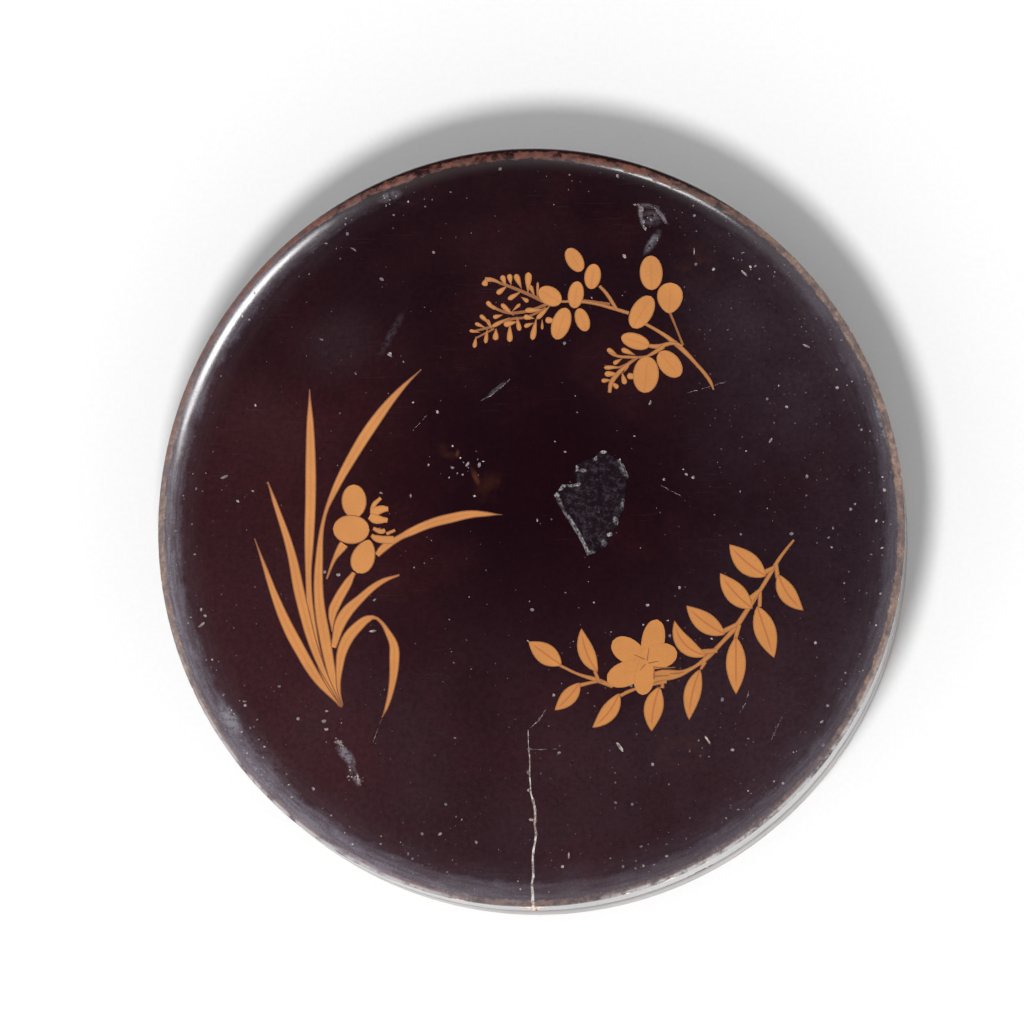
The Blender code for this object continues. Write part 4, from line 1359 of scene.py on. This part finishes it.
class LACQUERBOX_OT_clover(bpy.types.Operator):
    """Draws the bush clover spray at the upper right of the lid in gold"""

    bl_idname = "lacquer_box.clover"
    bl_label = "Clover Spray"

    def execute(self, context):
        strokes = strokes_along(CLOVER_STALKS, STALK_LINES, 0)
        strokes += strokes_along(CLOVER_STEMS, STEM_LINES, 8, rows=36)
        strokes += [leaf(base, tip, wide, "drop", FLORET_LINES, 16 + layer % 6, rows=14)
                    for layer, (base, tip, wide) in enumerate(CLOVER_FLORETS)]
        strokes += [leaf(*each, ROUND_LEAF_LINES, 24 + layer) for layer, each in enumerate(CLOVER_LEAVES)]
        spray("lid_clover_gold", strokes)
        return {"FINISHED"}


class LACQUERBOX_OT_blossom(bpy.types.Operator):
    """Draws the blossom branch at the lower right of the lid in gold"""

    bl_idname = "lacquer_box.blossom"
    bl_label = "Blossom Branch"

    def execute(self, context):
        strokes = strokes_along(BRANCH_STEMS, STEM_LINES, 0, rows=36)
        strokes += [leaf(base, tip, wide, "leaf", BRANCH_LEAF_LINES, 16 + layer, bend)
                    for layer, (base, tip, wide, bend) in enumerate(BRANCH_LEAVES)]
        strokes += [leaf(*petal, "petal", FLOWER_PETAL_LINES, 32 + layer)
                    for layer, petal in enumerate(FLOWER_PETALS)]
        strokes += strokes_along(FLOWER_LINES, STALK_LINES, 40, rows=8)
        spray("lid_blossom_gold", strokes)
        return {"FINISHED"}


# Soft lights: azimuth and elevation in degrees, then distance, width and height in metres
KEY_LIGHT = (258.0, 73.3, 0.64, 0.096, 0.096)
SHOULDER_LIGHT = (143.5, 46.0, 1.0, 0.40, 0.28)
SHOULDER_LIGHT_FAR = (74.0, 46.0, 1.0, 0.24, 0.11)
# The way from the box to the middle of the dark part of the surround
BEHIND = (-0.26, 0.97, 0.0)
# How bright the surround is at heights from the horizon, 0, to overhead, 1
SURROUND_STOPS = ((0.0, 1.0), (0.6, 0.85), (0.85, 0.5), (0.95, 0.13), (0.985, 0.03))
# The point on the lid that the camera looks at
CAMERA_AIM = (-0.00304, 0.00272, 0.0288)
FLOOR_SIZE = 12.0


def surround(context):
    """A pale surround, dark overhead, where the lid's field mirrors it, and low down behind the box."""
    world = bpy.data.worlds.new("studio_surround")
    context.scene.world = world
    world.use_nodes = True
    world.node_tree.nodes.clear()
    add = partial(add_node, world.node_tree)
    way = add("TexCoord").outputs["Generated"]
    upward = add("SeparateXYZ", way).outputs["Z"]
    ramp = add("ValToRGB", upward)
    stops = ramp.color_ramp.elements
    for number, (place, value) in enumerate(SURROUND_STOPS):
        stop = stops[number] if number < len(stops) else stops.new(place)
        stop.position = place
        stop.color = (value, value, value, 1.0)
    low = add("MapRange SMOOTHSTEP", upward, 0.8, 0.55, 0.0, 0.92)
    behind = add("VectorMath DOT_PRODUCT", way, BEHIND)
    shade = add("MapRange SMOOTHSTEP", behind, 0.5, 0.85, 1.0, add("Math SUBTRACT", 1.0, low))
    strength = add("Math MULTIPLY", shade, studio().sky)
    add("OutputWorld", {"Surface": add("Background", ramp, strength)})


def lamp(name, azimuth, elevation, distance, wide, high, watts):
    """A soft oval light turned to the box from an azimuth and an elevation in degrees."""
    deselect()
    a, e = math.radians(azimuth), math.radians(elevation)
    way = Vector((math.cos(a) * math.cos(e), math.sin(a) * math.cos(e), math.sin(e)))
    bpy.ops.object.light_add(type="AREA", location=Vector((0.0, 0.0, sizes().total_height)) + way * distance)
    light = bpy.context.object
    light.name = name
    light.rotation_euler = way.to_track_quat("Z", "Y").to_euler()
    light.data.shape = "ELLIPSE"
    light.data.size = wide
    light.data.size_y = high
    light.data.energy = watts
    return light


def photo_camera(context):
    """A long lens that looks down on the lid from a little way off its axis."""
    t = studio()
    sine = math.sin(t.camera_tilt)
    view = Vector((sine * math.cos(t.camera_towards), sine * math.sin(t.camera_towards), math.cos(t.camera_tilt)))
    right = Vector((0.0, 1.0, 0.0)).cross(view).normalized()
    up = view.cross(right)
    aim = Vector(CAMERA_AIM)
    bpy.ops.object.camera_add(location=aim + view * t.camera_distance)
    camera = context.object
    camera.name = "studio_camera"
    camera.rotation_euler = Matrix((right, up, view)).transposed().to_euler()
    camera.data.lens = t.camera_lens
    camera.data.sensor_width = 36.0
    camera.data.clip_start = 0.1
    camera.data.clip_end = 50.0
    context.scene.camera = camera


class LACQUERBOX_OT_stage(bpy.types.Operator):
    """Sets up the pale floor, the studio lights and the camera"""

    bl_idname = "lacquer_box.stage"
    bl_label = "Stage"

    def execute(self, context):
        deselect()
        bpy.ops.mesh.primitive_plane_add(size=FLOOR_SIZE)
        floor = context.object
        floor.name = "studio_floor"
        floor.data.materials.append(studio_paper())
        surround(context)
        t = studio()
        lamp("key_light", *KEY_LIGHT, t.key_power).visible_glossy = False
        lamp("shoulder_light", *SHOULDER_LIGHT, t.shoulder_power).visible_diffuse = False
        lamp("shoulder_light_far", *SHOULDER_LIGHT_FAR, t.shoulder_power_far).visible_diffuse = False
        photo_camera(context)
        context.scene.view_settings.view_transform = "Standard"
        return {"FINISHED"}


class LACQUERBOX_PT_panel(bpy.types.Panel):
    """Lists the box's pieces and the stage"""

    bl_idname = "LACQUERBOX_PT_panel"
    bl_label = "Lacquer Box"
    bl_space_type = "VIEW_3D"
    bl_region_type = "UI"
    bl_category = "Lacquer Box"

    def draw(self, context):
        for operator in OPERATORS:
            self.layout.operator(operator.bl_idname)
        for group in (sizes(), finishes(), studio()):
            box = self.layout.box()
            for name in group.__annotations__:
                box.prop(group, name)


GROUPS = {
    "lacquer_box_sizes": LacquerBoxSizes,
    "lacquer_box_finishes": LacquerBoxFinishes,
    "lacquer_box_studio": LacquerBoxStudio,
}
OPERATORS = (
    LACQUERBOX_OT_body,
    LACQUERBOX_OT_lid,
    LACQUERBOX_OT_flecks,
    LACQUERBOX_OT_orchid,
    LACQUERBOX_OT_clover,
    LACQUERBOX_OT_blossom,
    LACQUERBOX_OT_stage,
)


def register():
    """Makes the sizes, the operators and the panel known to Blender."""
    for item in (*GROUPS.values(), *OPERATORS, LACQUERBOX_PT_panel):
        bpy.utils.register_class(item)
    for name, group in GROUPS.items():
        setattr(bpy.types.Scene, name, PointerProperty(type=group))


def unregister():
    """Takes them away again."""
    for name in GROUPS:
        delattr(bpy.types.Scene, name)
    for item in reversed((*GROUPS.values(), *OPERATORS, LACQUERBOX_PT_panel)):
        bpy.utils.unregister_class(item)


def main():
    """Makes every piece in order."""
    register()
    bpy.ops.lacquer_box.body()
    bpy.ops.lacquer_box.lid()
    bpy.ops.lacquer_box.flecks()
    bpy.ops.lacquer_box.orchid()
    bpy.ops.lacquer_box.clover()
    bpy.ops.lacquer_box.blossom()
    bpy.ops.lacquer_box.stage()
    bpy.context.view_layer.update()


if __name__ == "__main__":
    main()
